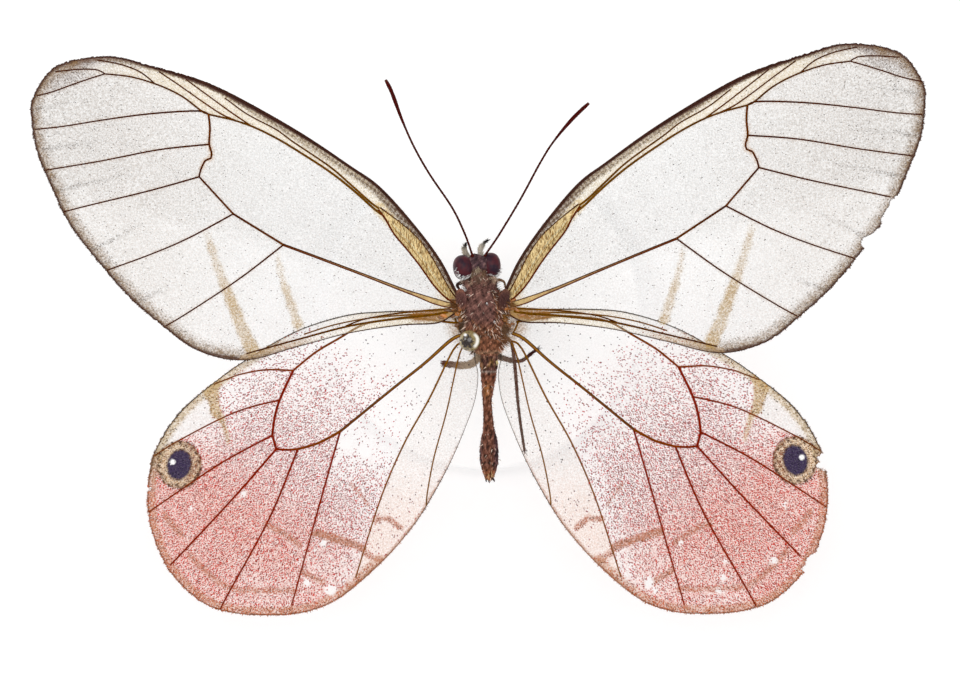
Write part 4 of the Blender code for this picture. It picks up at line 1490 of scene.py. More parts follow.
        paint.lay((110, 100, 92), 0.035 + 0.01 * patchy + 0.03 * fade(out, 12, 2) * fade(fore, -8, 0))
        paint.lay((200, 176, 156), inside * 0.1)
        paint.lay((236, 150, 140), rose * 0.13)
        paint.lay((234, 124, 78), rose * deep * 0.36)
        paint.lay((196, 164, 142), window * 0.14)
        paint.lay((240, 190, 162), inside * fade(fore, -14, -28) * 0.26)
        density = np.clip(rose * 1.05 + 0.012, 0, 1)
        mix = fade(ripple(out, fore, 0.33, self.seed + 9), -0.4, 0.5)
        tints = mixed((172, 34, 26), (114, 14, 14), mix)
        tints = laid(tints, (178, 38, 4), 0.6 * deep)
        tints = laid(tints, (150, 40, 52), fade(rose, 0.75, 0.25) * 0.75)
        tints = laid(tints, (52, 40, 46), fade(rose, 0.06, 0.01))

        def mark(colour: Rgb, amount: Rows, cover: float, scales: Rgb, thick: float) -> None:
            """Lays a marking on membrane and scales alike."""
            nonlocal tints, density
            paint.lay(colour, amount * cover)
            tints = laid(tints, scales, amount)
            density = np.maximum(density, np.clip(amount * thick, 0, 1))

        for vein in HIND_VEINS:
            away, _ = distance_to(spots, curve_through(vein.points, 2))
            lining = fade(away, 0.34, 0.1)
            mark((200, 110, 70), lining * 0.5 * (0.1 + 0.9 * rose), 0.7, (150, 36, 20), 1.0)
        for course, half, strength in HIND_BANDS:
            away, _ = distance_to(spots + 0.18 * fine[:, None], curve_through(course, 1))
            mark(ORANGE_TAN, fade(away, half + 0.2, half - 0.15) * strength, 0.72, (150, 84, 46), 1.0)
        beige = fade(to_costa, 1.3, 0.55) * fade(out, 20, 24) * fade(out * 0.4 - fore, 38, 30)
        mark((202, 178, 138), beige * (0.92 + 0.12 * fine), 0.7, (132, 102, 64), 0.5)
        wedge = curve_through(HIND_WEDGE, 0.4)
        away, along = distance_to(spots + 0.14 * fine[:, None], wedge[:, :2])
        half = np.interp(along, np.linspace(0, 1, len(wedge)), wedge[:, 2])
        patch = fade(away - half, 0.16, -0.2) * (1 - 0.3 * fade(along, 0.6, 0.9))
        mark((204, 174, 122), patch, 0.72, (150, 110, 62), 0.75)
        low = fade(fore, -18, -22)
        rim_band = fade(to_outer, 1.3, 0.7) * (0.8 + 0.2 * fine)
        mark((196, 132, 88), rim_band * low * 0.9, 0.7, (158, 88, 46), 0.9)
        mark((178, 156, 118), rim_band * (1 - low) * fade(out, 30, 36) * 0.9, 0.72, (110, 86, 58), 0.6)
        paint.lay((110, 74, 50), fade(to_outer, 0.22, 0.02) * (1 - 0.4 * low) * 0.7)
        paint.lay((176, 120, 84), fade(to_inner, 0.45, 0.05) * fade(fore, -12, -24) * 0.7)
        paint.lay((150, 138, 124), fade(to_inner, 0.22, 0.03) * fade(fore, -20, -8) * 0.3)
        paint.lay((236, 214, 168), fade(to_costa, 1.6, 0.4) * fade(out, 20, 8) * 0.4)
        paint.lay((96, 76, 58), fade(to_costa, 0.2, 0.02) * 0.5)
        paint.lay((172, 136, 92), fade(np.hypot(out + 1.5, fore - 0.2), 3.5, 1.3) * 0.66)
        self.eyespot(spots, mark)
        for x, y, size in BARE_SPOTS.get(self.name, ()):
            away = np.hypot(out - x + 0.18 * fine, fore - y - 0.22 * fine)
            gone = fade(away, size * 1.15, size * 0.6)
            paint.wipe(gone * 0.9)
            density = density * (1 - gone)
        return paint, np.clip(density, 0, 1), tints

    def eyespot(self, spots: Rows, mark: Callable[..., None]) -> None:
        """Marks the hindwing's eye: tan ring, dark pupil and white glint.

        Args:
            spots: Points in the wing's own measures.
            mark: Lays a marking on membrane and scales.
        """
        out, fore = spots.T
        x, y = EYESPOT
        reach = np.hypot(out - x, (fore - y) / 1.07)
        lean = (out - x) * 0.25
        pupil = np.hypot((out - x + 0.1 * (fore - y)) / EYESPOT_HALF[0], (fore - y) / EYESPOT_HALF[1])
        disc = fade(reach, EYESPOT_RING + 0.1, EYESPOT_RING - 0.15)
        mark((226, 208, 168), disc, 0.62, (134, 96, 58), 0.4)
        inner_side = fade(-lean, 0.0, 0.5)
        mark((204, 134, 92), disc * inner_side * 0.34, 0.5, (140, 64, 32), 0.85)
        ring = fade(np.abs(reach - EYESPOT_RING + 0.12), 0.26, 0.08)
        dots = fade(ripple(out, fore, 0.32, 31), 0.05, 0.3)
        mark((136, 80, 46), ring * (0.45 + 0.4 * inner_side), 0.75, (92, 48, 26), 1.0)
        wide = fade(np.abs(reach - EYESPOT_RING + 0.2), 0.45, 0.2)
        mark((72, 38, 22), wide * dots, 0.9, (60, 28, 16), 1.0)
        inner_ring = fade(np.abs(reach - EYESPOT_RING + 0.85), 0.6, 0.1) * inner_side
        mark((120, 62, 40), inner_ring * dots, 0.8, (92, 36, 18), 1.0)
        mark((70, 46, 44), fade(pupil, 1.13, 1.04) * (0.6 + 0.4 * dots), 0.9, (74, 42, 34), 1.0)
        mark(PUPIL, fade(pupil, 1.0, 0.93), 0.98, (48, 36, 66), 1.0)
        glint = np.hypot(out - GLINT[0], fore - GLINT[1])
        mark(WHITE, fade(glint, 0.42, 0.28), 1.0, WHITE, 1.0)

    def membrane(self, rim: Rows, finish: Material) -> Piece:
        """The thin closed sheet, with the attributes that the scales are planted by.

        Args:
            rim: The outline.
            finish: The membrane's material.

        Returns:
            The sheet as a piece.
        """
        coarse, fine = (self.grid(rim, step) for step in (MESH_STEP, FINE_STEP))
        grid = np.vstack([coarse[~self.detailed(coarse, rim)], fine[self.detailed(fine, rim)]])
        points = [Vector(spot) for spot in np.vstack([rim[:, :2], grid])]
        flat, _, faces, *_ = delaunay_2d_cdt(points, [], [list(range(len(rim)))], 1, 0.001)
        spots = np.array([tuple(spot) for spot in flat])
        triangles = np.array(faces)
        count = len(spots)
        places = np.vstack([self.in_space(spots, SHEET / 2), self.in_space(spots, -SHEET / 2)])
        turned = triangles if self.side > 0 else triangles[:, ::-1]
        pairs = np.vstack([turned[:, [0, 1]], turned[:, [1, 2]], turned[:, [2, 0]]])
        known = {tuple(pair) for pair in pairs.tolist()}
        border = [pair for pair in pairs.tolist() if (pair[1], pair[0]) not in known]
        walls = [(b, a, a + count, b + count) for a, b in border]
        both = [*turned.tolist(), *(turned[:, ::-1] + count).tolist()]
        mesh = mesh_from(self.name + "_membrane", places, [*both, *walls])
        mesh.shade_smooth()
        paint, density, tints = self.paint(spots)
        single = 1 - np.sqrt(1 - np.clip(paint.cover, 0, 0.985))
        store(mesh, "tint", np.vstack([with_alpha(paint.colour, single)] * 2))
        self.dress_for_planting(mesh, spots, density, tints)
        return shown(self.name + "_membrane", mesh, finish)

    def grid(self, rim: Rows, step: float) -> Rows:
        """Points spread over the wing, clear of its rim.

        Args:
            rim: The outline.
            step: How far apart they are.

        Returns:
            The points in the wing's own measures.
        """
        low, high = rim[:, :2].min(0), rim[:, :2].max(0)
        columns = np.arange(low[0], high[0], step)
        rows = np.arange(low[1], high[1], step * 0.87)
        spots = np.array([(x + (index % 2) * step / 2, y) for index, y in enumerate(rows) for x in columns])
        spots += np.random.default_rng(self.seed).uniform(-0.12, 0.12, spots.shape) * step
        spots = spots[inside_outline(spots, rim[:, :2])]
        near, _ = distance_to(spots, rim[::2, :2])
        return spots[near > min(step, RIM_STEP) * 0.6]

    def detailed(self, spots: Rows, rim: Rows) -> Rows:
        """Where the markings are fine: along the margins and round the eyespot.

        Args:
            spots: Points in the wing's own measures.
            rim: The outline.

        Returns:
            True for each point there.
        """
        near, _ = distance_to(spots, rim[::3, :2])
        found = near < FINE_BAND
        if self.kind is WingKind.HIND:
            found |= np.hypot(spots[:, 0] - EYESPOT[0], spots[:, 1] - EYESPOT[1]) < EYESPOT_RING + 0.4
        return found

    def dress_for_planting(self, mesh: Mesh, spots: Rows, density: Rows, tints: Rows) -> None:
        """Adds what the scales need to know at each point of the sheet, first its top and then its underside.

        Args:
            mesh: The sheet.
            spots: Its points in the wing's own measures.
            density: How many scales stand there.
            tints: Their colour.
        """
        outwards = spots / np.maximum(np.hypot(*spots.T), 1)[:, None]
        ahead = unit(self.to_plan(spots + 0.1 * outwards) - self.to_plan(spots))
        lie = np.column_stack([ahead, np.full(len(spots), 0.12)])
        up = np.tile(UPWARDS, (len(spots), 1))
        across, along = wing_patch(spots)
        set_coat(
            mesh, np.vstack([lie, lie * (1, 1, -1)]), np.vstack([up, -up]), 1.0,
            (np.tile(across, 2), np.concatenate([along, along + 1]) / 2),
            density=np.concatenate([density, density * self.pair.under]),
        )  # fmt: skip
        store(mesh, "scale_tint", np.vstack([with_alpha(tints)] * 2))

    def scales(self, sheet: Piece, trees: Trees, finish: Material) -> Piece:
        """Scales on both faces of the membrane.

        Args:
            sheet: The membrane.
            trees: The geometry trees and the shapes they plant.
            finish: The material.

        Returns:
            The scales as a piece.
        """
        base = sheet.data.copy()
        base.attributes.remove(base.attributes["tint"])
        base.attributes["scale_tint"].name = "tint"
        coat = replace(self.pair.coat, seed=self.seed)
        return coat.over(self.name + "_scales", base, trees, finish)

    def vein_runs(self, rim: Rows) -> list[Run]:
        """Courses, half widths and colours of the veins and the edge.

        Args:
            rim: The outline.

        Returns:
            One run for each vein and one for the edge.
        """
        runs = []
        for vein in self.pair.veins:
            spots = curve_through(vein.points, VEIN_STEP)
            t = np.linspace(0, 1, len(spots))
            keep = inside_outline(spots, rim[:, :2]) | (t < 0.5)
            spots, t = spots[keep], t[keep]
            light = self.pair.vein_light + 0.16 * ripple(*spots.T, 0.5, self.seed)
            colour = mixed(vein.root_colour, vein.tip_colour, t) * light[:, None]
            girth = np.maximum((vein.root + (vein.tip - vein.root) * t) * VEIN_SWELL, THINNEST_VEIN)
            runs.append((self.in_space(spots), girth, colour))
        edge = np.vstack([rim, rim[:1]])
        runs.append((self.in_space(edge[:, :2]), edge[:, 2], self.edge_colour(edge[:, :2])))
        return runs

    def edge_colour(self, spots: Rows) -> Rows:
        """Colour of the edge vein.

        Args:
            spots: Points in the wing's own measures.

        Returns:
            A colour for each point.
        """
        out, fore = spots.T
        uneven = ripple(out, fore, 0.35, self.seed + 2)[:, None]
        if self.kind is WingKind.FORE:
            return mixed(DARK_EDGE, (80, 50, 38), fade(fore - 0.3 * out, 14, 8)) * (1 + 0.25 * uneven)
        colour = mixed((66, 50, 40), (146, 90, 54), fade(0.2 * out - fore, 20, 28))
        inner = fade(out * 0.8 + fore, -6, -12) * fade(fore, -24, -12)
        return laid(colour, (120, 108, 92), inner) * (1 + 0.4 * uneven)

    def fringe(self, rim: Rows, trees: Trees, finish: Material) -> Piece:
        """Hair scales that stand out from the margins.

        Args:
            rim: The outline.
            trees: The geometry trees and the shapes they plant.
            finish: The material.

        Returns:
            The fringe as a piece.
        """
        draw = np.random.default_rng(self.seed + 40)
        run = curve_through(rim[::3, :2], 0.075)
        outward = beside(run)
        out, fore = run.T
        if self.kind is WingKind.FORE:
            amount = np.maximum(fade(out, 24, 34) * fade(fore - 0.3 * out, 17, 12), 0.15)
            amount = np.maximum(amount, 0.8 * (fore > 0.5 * out))
            colour = np.tile(linear((84, 54, 42)), (len(run), 1))
        else:
            amount = np.maximum(fade(0.3 * out - fore, 14, 22), 0.25) * fade(out, -4, 8)
            colour = mixed((84, 66, 52), (170, 104, 70), fade(0.2 * out - fore, 22, 32))
        keep = (draw.random(len(run)) < amount) & (np.hypot(out, fore) > 4)
        plan = self.to_plan(run)
        lie = unit(self.to_plan(run + outward * 0.1) - plan)
        lie *= np.sign(((plan - plan.mean(0)) * lie).sum(1) + 1e-9)[:, None]
        spots = run[keep]
        count = len(spots)
        base = mesh_from(self.name + "_fringe", self.in_space(spots), [])
        tip = np.column_stack([lie[keep], draw.normal(0, 0.2, count)])
        size = np.where(draw.random(count) < 0.06, 1.6, 1.0) * self.pair.fringe_size
        set_coat(base, tip, UPWARDS, size, wing_patch(spots), colour[keep])
        coat = replace(FRINGE_SCALES, seed=self.seed)
        return coat.on(self.name + "_fringe", base, trees, finish)

    def specks(self, rim: Rows, trees: Trees, finish: Material) -> Piece:
        """Dust specks and loose dark hairs on the sheet.

        Args:
            rim: The outline.
            trees: The geometry trees and the shapes they plant.
            finish: The material.

        Returns:
            The specks as a piece.
        """
        draw = np.random.default_rng(self.seed + 90)
        low, high = rim[:, :2].min(0), rim[:, :2].max(0)
        spots = draw.uniform(low, high, (SPECK_COUNT * 2, 2))
        near_root = draw.random(len(spots)) < fade(np.hypot(*spots.T), 44, 4) + 0.12
        spots = spots[inside_outline(spots, rim[:, :2]) & near_root]
        count = len(spots)
        turn = draw.uniform(0, 2 * math.pi, count)
        base = mesh_from(self.name + "_specks", self.in_space(spots, SHEET / 2), [])
        lie = np.column_stack([np.cos(turn), np.sin(turn), np.full(count, 0.1)])
        size = draw.uniform(0.45, 1.0, count) ** 2
        set_coat(base, lie, UPWARDS, size, wing_patch(spots), linear(DUST_COLOUR))
        coat = replace(DUST, seed=self.seed)
        return coat.on(self.name + "_specks", base, trees, finish)

    def swollen(self, trees: Trees, finishes: "Finishes") -> None:
        """The straw-coloured trunks, and the forewing's swollen vein with its oblique hairs.

        Args:
            trees: The geometry trees and the shapes they plant.
            finishes: The materials.
        """
        for number, trunk in enumerate(self.pair.trunks):
            run = curve_through(trunk.table, 0.25)
            x, y, half = run.T
            colour = mixed(trunk.root_colour, trunk.tip_colour, np.linspace(0, 1, len(run)) ** 0.7)
            colour *= (1 + 0.22 * ripple(x, y, 0.7, 5))[:, None]
            colour *= (1 + 0.1 * ripple(x * 0.5, y * 0.5, 0.35, 3))[:, None]
            middle = self.in_space(run[:, :2], 0.05)
            name = f"{self.name}_trunk_{number}"
            piece = tube(name, [(middle, half, colour)], finishes.trunks, trees, 24, TRUNK_FLATNESS)
            place(piece, self.pair.slot)
            if trunk.haired:
                base = piece.data.copy()
                dress_along(base, middle, 0.12, 1.0, slant=0.8 * self.side)
                store(base, "tint", with_alpha(np.tile(linear(TRUNK_HAIR_COLOUR), (len(base.vertices), 1))))
                place(TRUNK_HAIR.over(f"{name}_hair", base, trees, finishes.hair), self.pair.slot)


    def side_lines(self) -> list[Run]:
        """The brown lines beside the thick veins, and the painted highlight along the swollen one: a pale
        line between two darker ones.

        Returns:
            One run for each line.
        """
        runs = []
        for trunk in self.pair.trunks:
            run = curve_through(trunk.table, 0.4)
            sideways = beside(run[:, :2]) * run[:, 2:]
            for side, share, dark in ((-1, 1.2, (116, 44, 0)), (1, 1.0, (88, 40, 0))):
                spots = run[:, :2] + sideways * side
                girth = np.full(len(spots), trunk.edge * share)
                runs.append((self.in_space(spots, LINE_LIFT), girth, np.tile(linear(dark), (len(spots), 1))))
        if self.kind is WingKind.FORE:
            # Painted highlight along the swollen vein: a pale line between two darker ones.
            run = curve_through(SPINDLE, 0.4)[3:-6]
            for shift, colour in GLOSS_LINES.items():
                spots = run[:, :2] + beside(run[:, :2]) * run[:, 2:] * shift
                lift = 0.05 + run[:, 2] * TRUNK_TOP * math.sqrt(1 - shift**2)
                shade = np.tile(linear(colour), (len(spots), 1))
                runs.append((self.in_space(spots, lift), np.full(len(spots), 0.045), shade))
        return runs

    def build(self, trees: Trees, finishes: "Finishes") -> None:
        """Makes every piece of the wing.

        Args:
            trees: The geometry trees and the shapes they plant.
            finishes: The materials.
        """
        rim = self.rim()
        sheet = self.membrane(rim, finishes.membrane)
        scales = self.scales(sheet, trees, finishes.scales)
        self.swollen(trees, finishes)
        runs = self.vein_runs(rim) + self.side_lines()
        veins = tube(self.name + "_veins", runs, finishes.veins, trees, 8, VEIN_FLATNESS)
        fringe = self.fringe(rim, trees, finishes.scales)
        specks = self.specks(rim, trees, finishes.specks)
        place(sheet, self.pair.slot, self.name)
        for piece in (scales, veins, fringe, specks):
            place(piece, self.pair.slot)


def inside_outline(spots: Rows, outline: Rows) -> Rows:
    """Tells which points lie inside a closed outline.

    Args:
        spots: Points, one a row.
        outline: The outline's points, one a row.

    Returns:
        True for each point inside.
    """
    x, y = spots.T
    found = np.zeros(len(spots), bool)
    for (x0, y0), (x1, y1) in zip(outline, np.roll(outline, -1, axis=0), strict=True):
        if y0 == y1:
            continue
        crosses = (y0 > y) != (y1 > y)
        found ^= crosses & (x < (x1 - x0) * (y - y0) / (y1 - y0) + x0)
    return found


def body_edge(y: Rows, side: int) -> Rows:
    """How far the body reaches to one side at each y, with the gap added.

    Args:
        y: Distances forward of the body's middle.
        side: -1 for the left, 1 for the right.

    Returns:
        A distance for each y.
    """
    reach = np.full(len(y), -1e3)
    for stations in (THORAX, METATHORAX, ABDOMEN):
        rows = np.asarray(stations)[::-1]
        span = (y >= rows[0, 0] - GAP) & (y <= rows[-1, 0] + GAP)
        centre = np.interp(y, rows[:, 0], rows[:, 1])
        wide = np.interp(y, rows[:, 0], rows[:, 3])
        reach = np.where(span, np.maximum(reach, side * centre + wide + GAP), reach)
    return reach


# Body

COAT_DEPTH = 0.22
SCALE_DEPTH = 0.12  # on the abdomen, where the coat is short
BODY_UNWRAP = (-23, 32)  # where the body starts in its unwrap, and the length that the unwrap spans
PLATE_UNWRAP = 12
SKIN_SIDES = 64
SKIN_STEP = 0.14
VOXEL = 0.13
HEAD_CENTRE = (-0.8, 5.95, -0.1)
HEAD_ROLL = math.radians(15)
HEAD_TURN = math.radians(5)
HEAD_HALF = (2.0, 1.3, 1.4)
EYE_OUT = 1.9
EYE_HALF = (1.22, 1.62, 1.6)
EYE_POWER = 2.25
SEGMENTS = 9
# Colour of the body's painted highlights.
GLINT_COLOUR = (255, 226, 206)
GROOVES = (  # on the thorax, seen from above
    ((-2.5, 2.3), (-2.7, 0.8), (-2.35, -0.4), (-2.1, -1.3)),
    ((1.1, 2.8), (1.7, 1.2), (1.9, -0.3), (1.4, -1.3)),
    ((-1.4, -1.05), (-0.65, -1.95), (0.45, -2.4), (1.35, -1.95), (1.75, -1.05)),
    ((-1.4, -3.8), (0.1, -2.9), (1.7, -3.0), (2.4, -3.9)),
)  # fmt: skip


def head_frame() -> Matrix:
    """The head's own frame in millimetres.

    Returns:
        The matrix.
    """
    x, y, z = HEAD_CENTRE
    return (Matrix.Translation((x, y, AXIS_Z + z)) @ Matrix.Rotation(HEAD_TURN, 4, "Z")
            @ Matrix.Rotation(HEAD_ROLL, 4, "Y"))  # fmt: skip


def ball(half: Sequence[float], matrix: Matrix, around: int = 32, rings: int = 20,
         power: float = 2.0) -> Form:  # fmt: skip
    """A closed ellipsoid.

    Args:
        half: Its half sizes.
        matrix: Its place, in millimetres.
        around: Sides round it.
        rings: Rings from pole to pole.
        power: Over 2 makes it boxier.

    Returns:
        Its points and faces.
    """
    places = [Vector((0, 0, 1))]
    for ring in range(1, rings):
        tilt = math.pi * ring / rings
        for side in range(around):
            turn = 2 * math.pi * side / around
            wide = math.sin(tilt)
            places.append(Vector((wide * math.cos(turn), wide * math.sin(turn), math.cos(tilt))))
    places.append(Vector((0, 0, -1)))
    faces = [(0, 1 + side, 1 + (side + 1) % around) for side in range(around)]
    for ring in range(rings - 2):
        start, below = 1 + ring * around, 1 + (ring + 1) * around
        for side in range(around):
            after = (side + 1) % around
            faces.append((start + side, below + side, below + after, start + after))
    last, end = 1 + (rings - 2) * around, len(places) - 1
    faces += [(last + side, end, last + (side + 1) % around) for side in range(around)]
    scaled = matrix @ Matrix.Diagonal((*half, 1.0))
    full = [spot / sum(abs(part) ** power for part in spot) ** (1 / power) for spot in places]
    return np.array([tuple(scaled @ spot) for spot in full]), faces


def at(x: float, y: float, z: float, turn: float = 0.0) -> Matrix:
    """A place given with its height above the body axis, turned about the vertical."""
    return Matrix.Translation((x, y, AXIS_Z + z)) @ Matrix.Rotation(turn, 4, "Z")


@dataclass
class Body:
    """The insect's trunk: one skin from head to tail tip, its hair and its scales."""

    sections: Rows = field(default_factory=lambda: curve_through(
        [*NECK, *THORAX, *METATHORAX, *ABDOMEN], SKIN_STEP))  # fmt: skip

    def profile(self, y: float, angle: Rows) -> Rows:
        """How the outline of a section swells and pinches, as a share of its size.

        Args:
            y: Where the section is.
            angle: Directions round it, with a quarter turn pointing up.

        Returns:
            A factor for each direction.
        """
        up = np.sin(angle)
        side = np.abs(np.cos(angle))
        share = np.ones_like(angle)
        if y > -3.1:
            back = np.clip(up, 0, 1) ** 2
            share -= 0.03 * back * math.exp(-((y - 0.5) / 2.5) ** 2) * (np.abs(np.cos(angle)) < 0.16)
            for ridge in (1.1, 2.04):
                share += 0.035 * np.exp(-((angle - ridge) / 0.35) ** 2)
            share -= 0.05 * back * math.exp(-((y + 1.9) / 0.25) ** 2)
            share += 0.03 * side * math.sin(y * 2.2)
        elif y < -5.5:
            front, rear = ABDOMEN[0][0], ABDOMEN[-1][0]
            run = (front - y) / (front - rear) * SEGMENTS
            ring = run - math.floor(run)
            share += 0.04 * ring - 0.02 - 0.03 * math.exp(-((ring - 0.02) / 0.07) ** 2)
            fold = np.exp(-((up + 0.15) / 0.12) ** 2)
            share -= 0.07 * fold
            club = float(fade(y, -14.5, -17))
            share += club * 0.055 * np.sin(angle * 9 + 0.9 * math.sin(y * 0.8))
        return share

    def trunk(self) -> Form:
        """Points and faces of the loft from neck to tail tip.

        Returns:
            Its points and faces.
        """
        angle = np.linspace(0, 2 * math.pi, SKIN_SIDES, endpoint=False)
        places, faces = [], []
        for y, x, z, wide, high in self.sections:
            share = self.profile(y, angle)
            depth = SCALE_DEPTH + (COAT_DEPTH - SCALE_DEPTH) * float(fade(y, -5.6, -4.8))
            depth = min(depth, 0.35 * min(wide, high))
            places.append(np.column_stack([
                x + (wide - depth) * share * np.cos(angle), np.full(SKIN_SIDES, y),
                AXIS_Z + z + (high - depth) * share * np.sin(angle),
            ]))  # fmt: skip
        count = len(places)
        faces.append(tuple(range(SKIN_SIDES)))
        faces.append(tuple(reversed(range((count - 1) * SKIN_SIDES, count * SKIN_SIDES))))
        for ring in range(count - 1):
            start = ring * SKIN_SIDES
            rear = start + SKIN_SIDES
            for side in range(SKIN_SIDES):
                after = (side + 1) % SKIN_SIDES
                faces.append((start + side, rear + side, rear + after, start + after))
        return np.vstack(places), faces

    def lumps(self) -> list[Form]:
        """Head, cheeks, wing roots and leg roots that grow out of the trunk.

        Returns:
            A form for each lump.
        """
        head = head_frame()
        found = [
            ball(HEAD_HALF, head),
            ball((0.95, 0.9, 0.8), head @ Matrix.Translation((0, 0.65, 0.55))),
            ball((0.8, 0.8, 0.8), head @ Matrix.Translation((0, 0.9, -0.85))),
            ball((1.15, 1.0, 1.05), at(-0.75, 4.9, -0.05)),
            ball((1.05, 0.8, 0.75), at(-1.65, 4.0, 0.1)),
            ball((0.95, 0.8, 0.75), at(0.95, 4.0, 0.1)),
        ]
        found.append(ball((1.5, 0.9, 0.8), head @ Matrix.Translation((0, 0.4, 0.5)), power=3.0))
        for side in (-1, 1):
            shift = 0.0 if side < 0 else -0.25
            found += [
                ball((0.75, 1.35, 0.8), at(side * 2.35 + shift, 1.3, 0.75)),
                ball((0.6, 0.9, 0.6), at(side * 2.9 + shift, 1.0, 0.75)),
                ball((0.62, 0.7, 0.55), at(side * 2.6 + 0.2, -1.9, -0.45)),
                ball((0.75, 1.0, 1.1), at(side * 1.0, 1.6, -1.8)),
                ball((0.75, 1.0, 1.1), at(side * 0.95, -1.2, -1.85)),
                ball((0.65, 0.8, 0.9), at(side * 0.85 + 0.4, -3.8, -1.5)),
                ball((0.55, 0.75, 0.5), at(side * 1.35 - 0.3, 3.55, 0.75, 0.5 * side)),
            ]
        return found

    def skin(self, finish: Material) -> Piece:
        """One closed skin over trunk and lumps.

        Args:
            finish: The material.

        Returns:
            The skin as a piece.
        """
        places, faces = joined([self.trunk(), *self.lumps()])
        carrier = shown("body_skin", mesh_from("body_skin", places / MM, faces))
        join = carrier.modifiers.new("join", "REMESH")
        join.mode = "VOXEL"
        join.voxel_size = VOXEL
        ease = carrier.modifiers.new("ease", "SMOOTH")
        ease.iterations = 2
        ease.factor = 0.5
        mesh = plain_mesh(carrier)
        mesh.transform(Matrix.Scale(MM, 4))
        mesh.shade_smooth()
        mesh.materials.clear()
        mesh.materials.append(finish)
        carrier.data = mesh
        self.dress(mesh)
        return carrier

    def dress(self, mesh: Mesh) -> None:
        """Colours the skin and says how its hair lies.

        Args:
            mesh: The mesh.
        """
        places, normal = places_of(mesh), normals_of(mesh)
        x, y, z = places.T
        rows = self.sections[::-1]
        centre_x = np.interp(y, rows[:, 0], rows[:, 1])
        centre_z = AXIS_Z + np.interp(y, rows[:, 0], rows[:, 2])
        angle = np.arctan2(z - centre_z, x - centre_x)
        back = np.array((0.0, -1.0, 0.0))
        flat = unit(back - normal * (normal @ back)[:, None])
        thorax = fade(y, -5.2, -4.2) * fade(y, 4.4, 3.4)
        stand = (0.18 + 0.3 * thorax + 0.25 * fade(y, 4.4, 5.2))[:, None]
        under = fade(normal[:, 2], 0.2, -0.5)
        size = 0.5 + 0.15 * thorax + 0.25 * under * thorax + 0.12 * np.exp(-((y + 4.6) / 0.7) ** 2)
        set_coat(
            mesh, flat * (1 - stand) + normal * stand, normal, size * (1 - 0.35 * fade(y, 4.6, 5.6)),
            (angle / (2 * math.pi) + 0.5, (y - BODY_UNWRAP[0]) / BODY_UNWRAP[1]),
            self.colours(places, normal), 0.8 + 0.2 * thorax,
        )  # fmt: skip

    def colours(self, places: Rows, normal: Rows) -> Rows:
        """Colour of the coat at each place of the skin.

        Args:
            places: Points in millimetres.
            normal: Which way the skin faces at each.

        Returns:
            A colour for each place.
        """
        x, y, z = places.T
        tint = np.tile(linear(PURPLE_BROWN), (len(x), 1))

        def lay(colour: Rgb, amount: Rows) -> None:
            """Blends a colour in."""
            nonlocal tint
            tint = laid(tint, colour, amount)

        uneven = ripple(x * 1.3, y, 0.8, 2)
        flank = fade(np.abs(x + 0.4), 1.5, 2.4) * fade(y, 4, 2) * fade(y, -5.5, -4)
        lay(RED_BROWN, flank * (0.7 + 0.3 * uneven))
        lay((130, 82, 54), fade(y, -0.6, -2.6) * fade(y, -6.2, -5.4) * 0.75)
        lay((150, 118, 84), fade(np.abs(x), 2.5, 3.2) * fade(y, 0.2, -0.8) * 0.6)
        shoulder = fade(np.abs(x), 2.1, 2.7) * fade(y, 0.2, 1.0) * fade(y, 3.9, 3.2)
        lay((72, 44, 44), shoulder * np.where(x < 0, 0.35, 0.85))
        lay((170, 140, 112), fade(y, -4.85, -5.1) * fade(y, -5.5, -5.3) * 0.4)
        abdomen = fade(y, -5.4, -5.8)
        lay((76, 46, 38), abdomen * 0.9)
        tawny = fade(y, -5.6, -6) * fade(y, -7.6, -7.1)
        lay((136, 100, 48), tawny * np.clip(0.4 + uneven - 0.3 * x, 0, 1) * 0.7)
        lay(PALE, np.exp(-((y + 7.75) / 0.12) ** 2) * 0.25)
        lay((108, 62, 42), abdomen * fade(y, -7.7, -8.2) * 0.8)
        orange = np.exp(-((x - 0.5) / 0.45) ** 2 - ((y + 10.1) / 0.9) ** 2) * fade(normal[:, 2], 0.1, 0.7)
        lay((176, 118, 66), orange * 0.6)
        club = fade(y, -14.2, -16.2)
        lay((96, 58, 46), club * 0.8)
        lay((64, 40, 48), club * fade(np.abs(x - 0.62), 0.5, 1.15) * 0.85)
        lay(RUST, fade(y, -19.8, -21.4) * (0.6 + 0.3 * uneven))
        lay((168, 140, 112), fade(normal[:, 2], -0.3, -0.9) * abdomen * 0.55)
        lay((96, 70, 56), fade(y, 3.2, 4.2) * 0.6)
        lay((78, 56, 60), fade(y, 5.2, 5.8))
        lay((150, 132, 110), fade(y, 4.9, 4.3) * fade(y, 3.2, 3.8) * np.clip(uneven, 0, 1) * 0.8)
        spots = places[:, :2]
        upper = fade(normal[:, 2], -0.1, 0.4)
        # Along each groove, on the upper side: a band of painted shade with a thin painted highlight down its
        # middle.
        for course in GROOVES:
            away, _ = distance_to(spots, curve_through(course, 0.3))
            lay((44, 24, 18), fade(away, 0.34, 0.14) * upper * 0.7)
            lay((190, 130, 92), fade(away, 0.13, 0.04) * upper * (0.45 + 0.4 * uneven))
        # Random streaks and clumps of lighter and darker hair; the lightest clumps also get a pale painted
        # sheen.
        streaks = ripple(x * 2.4, y * 0.4, 0.45, 12) * abdomen
        clumps = 0.6 * ripple(x, y + z, 0.42, 5) + 0.4 * ripple(x + z, y, 0.19, 9) + 0.6 * streaks
        tint = tint * np.clip(0.97 + 1.25 * clumps, 0.14, 1.65)[:, None]
        return laid(tint, (188, 150, 132), 0.4 * fade(clumps, 0.2, 0.8))

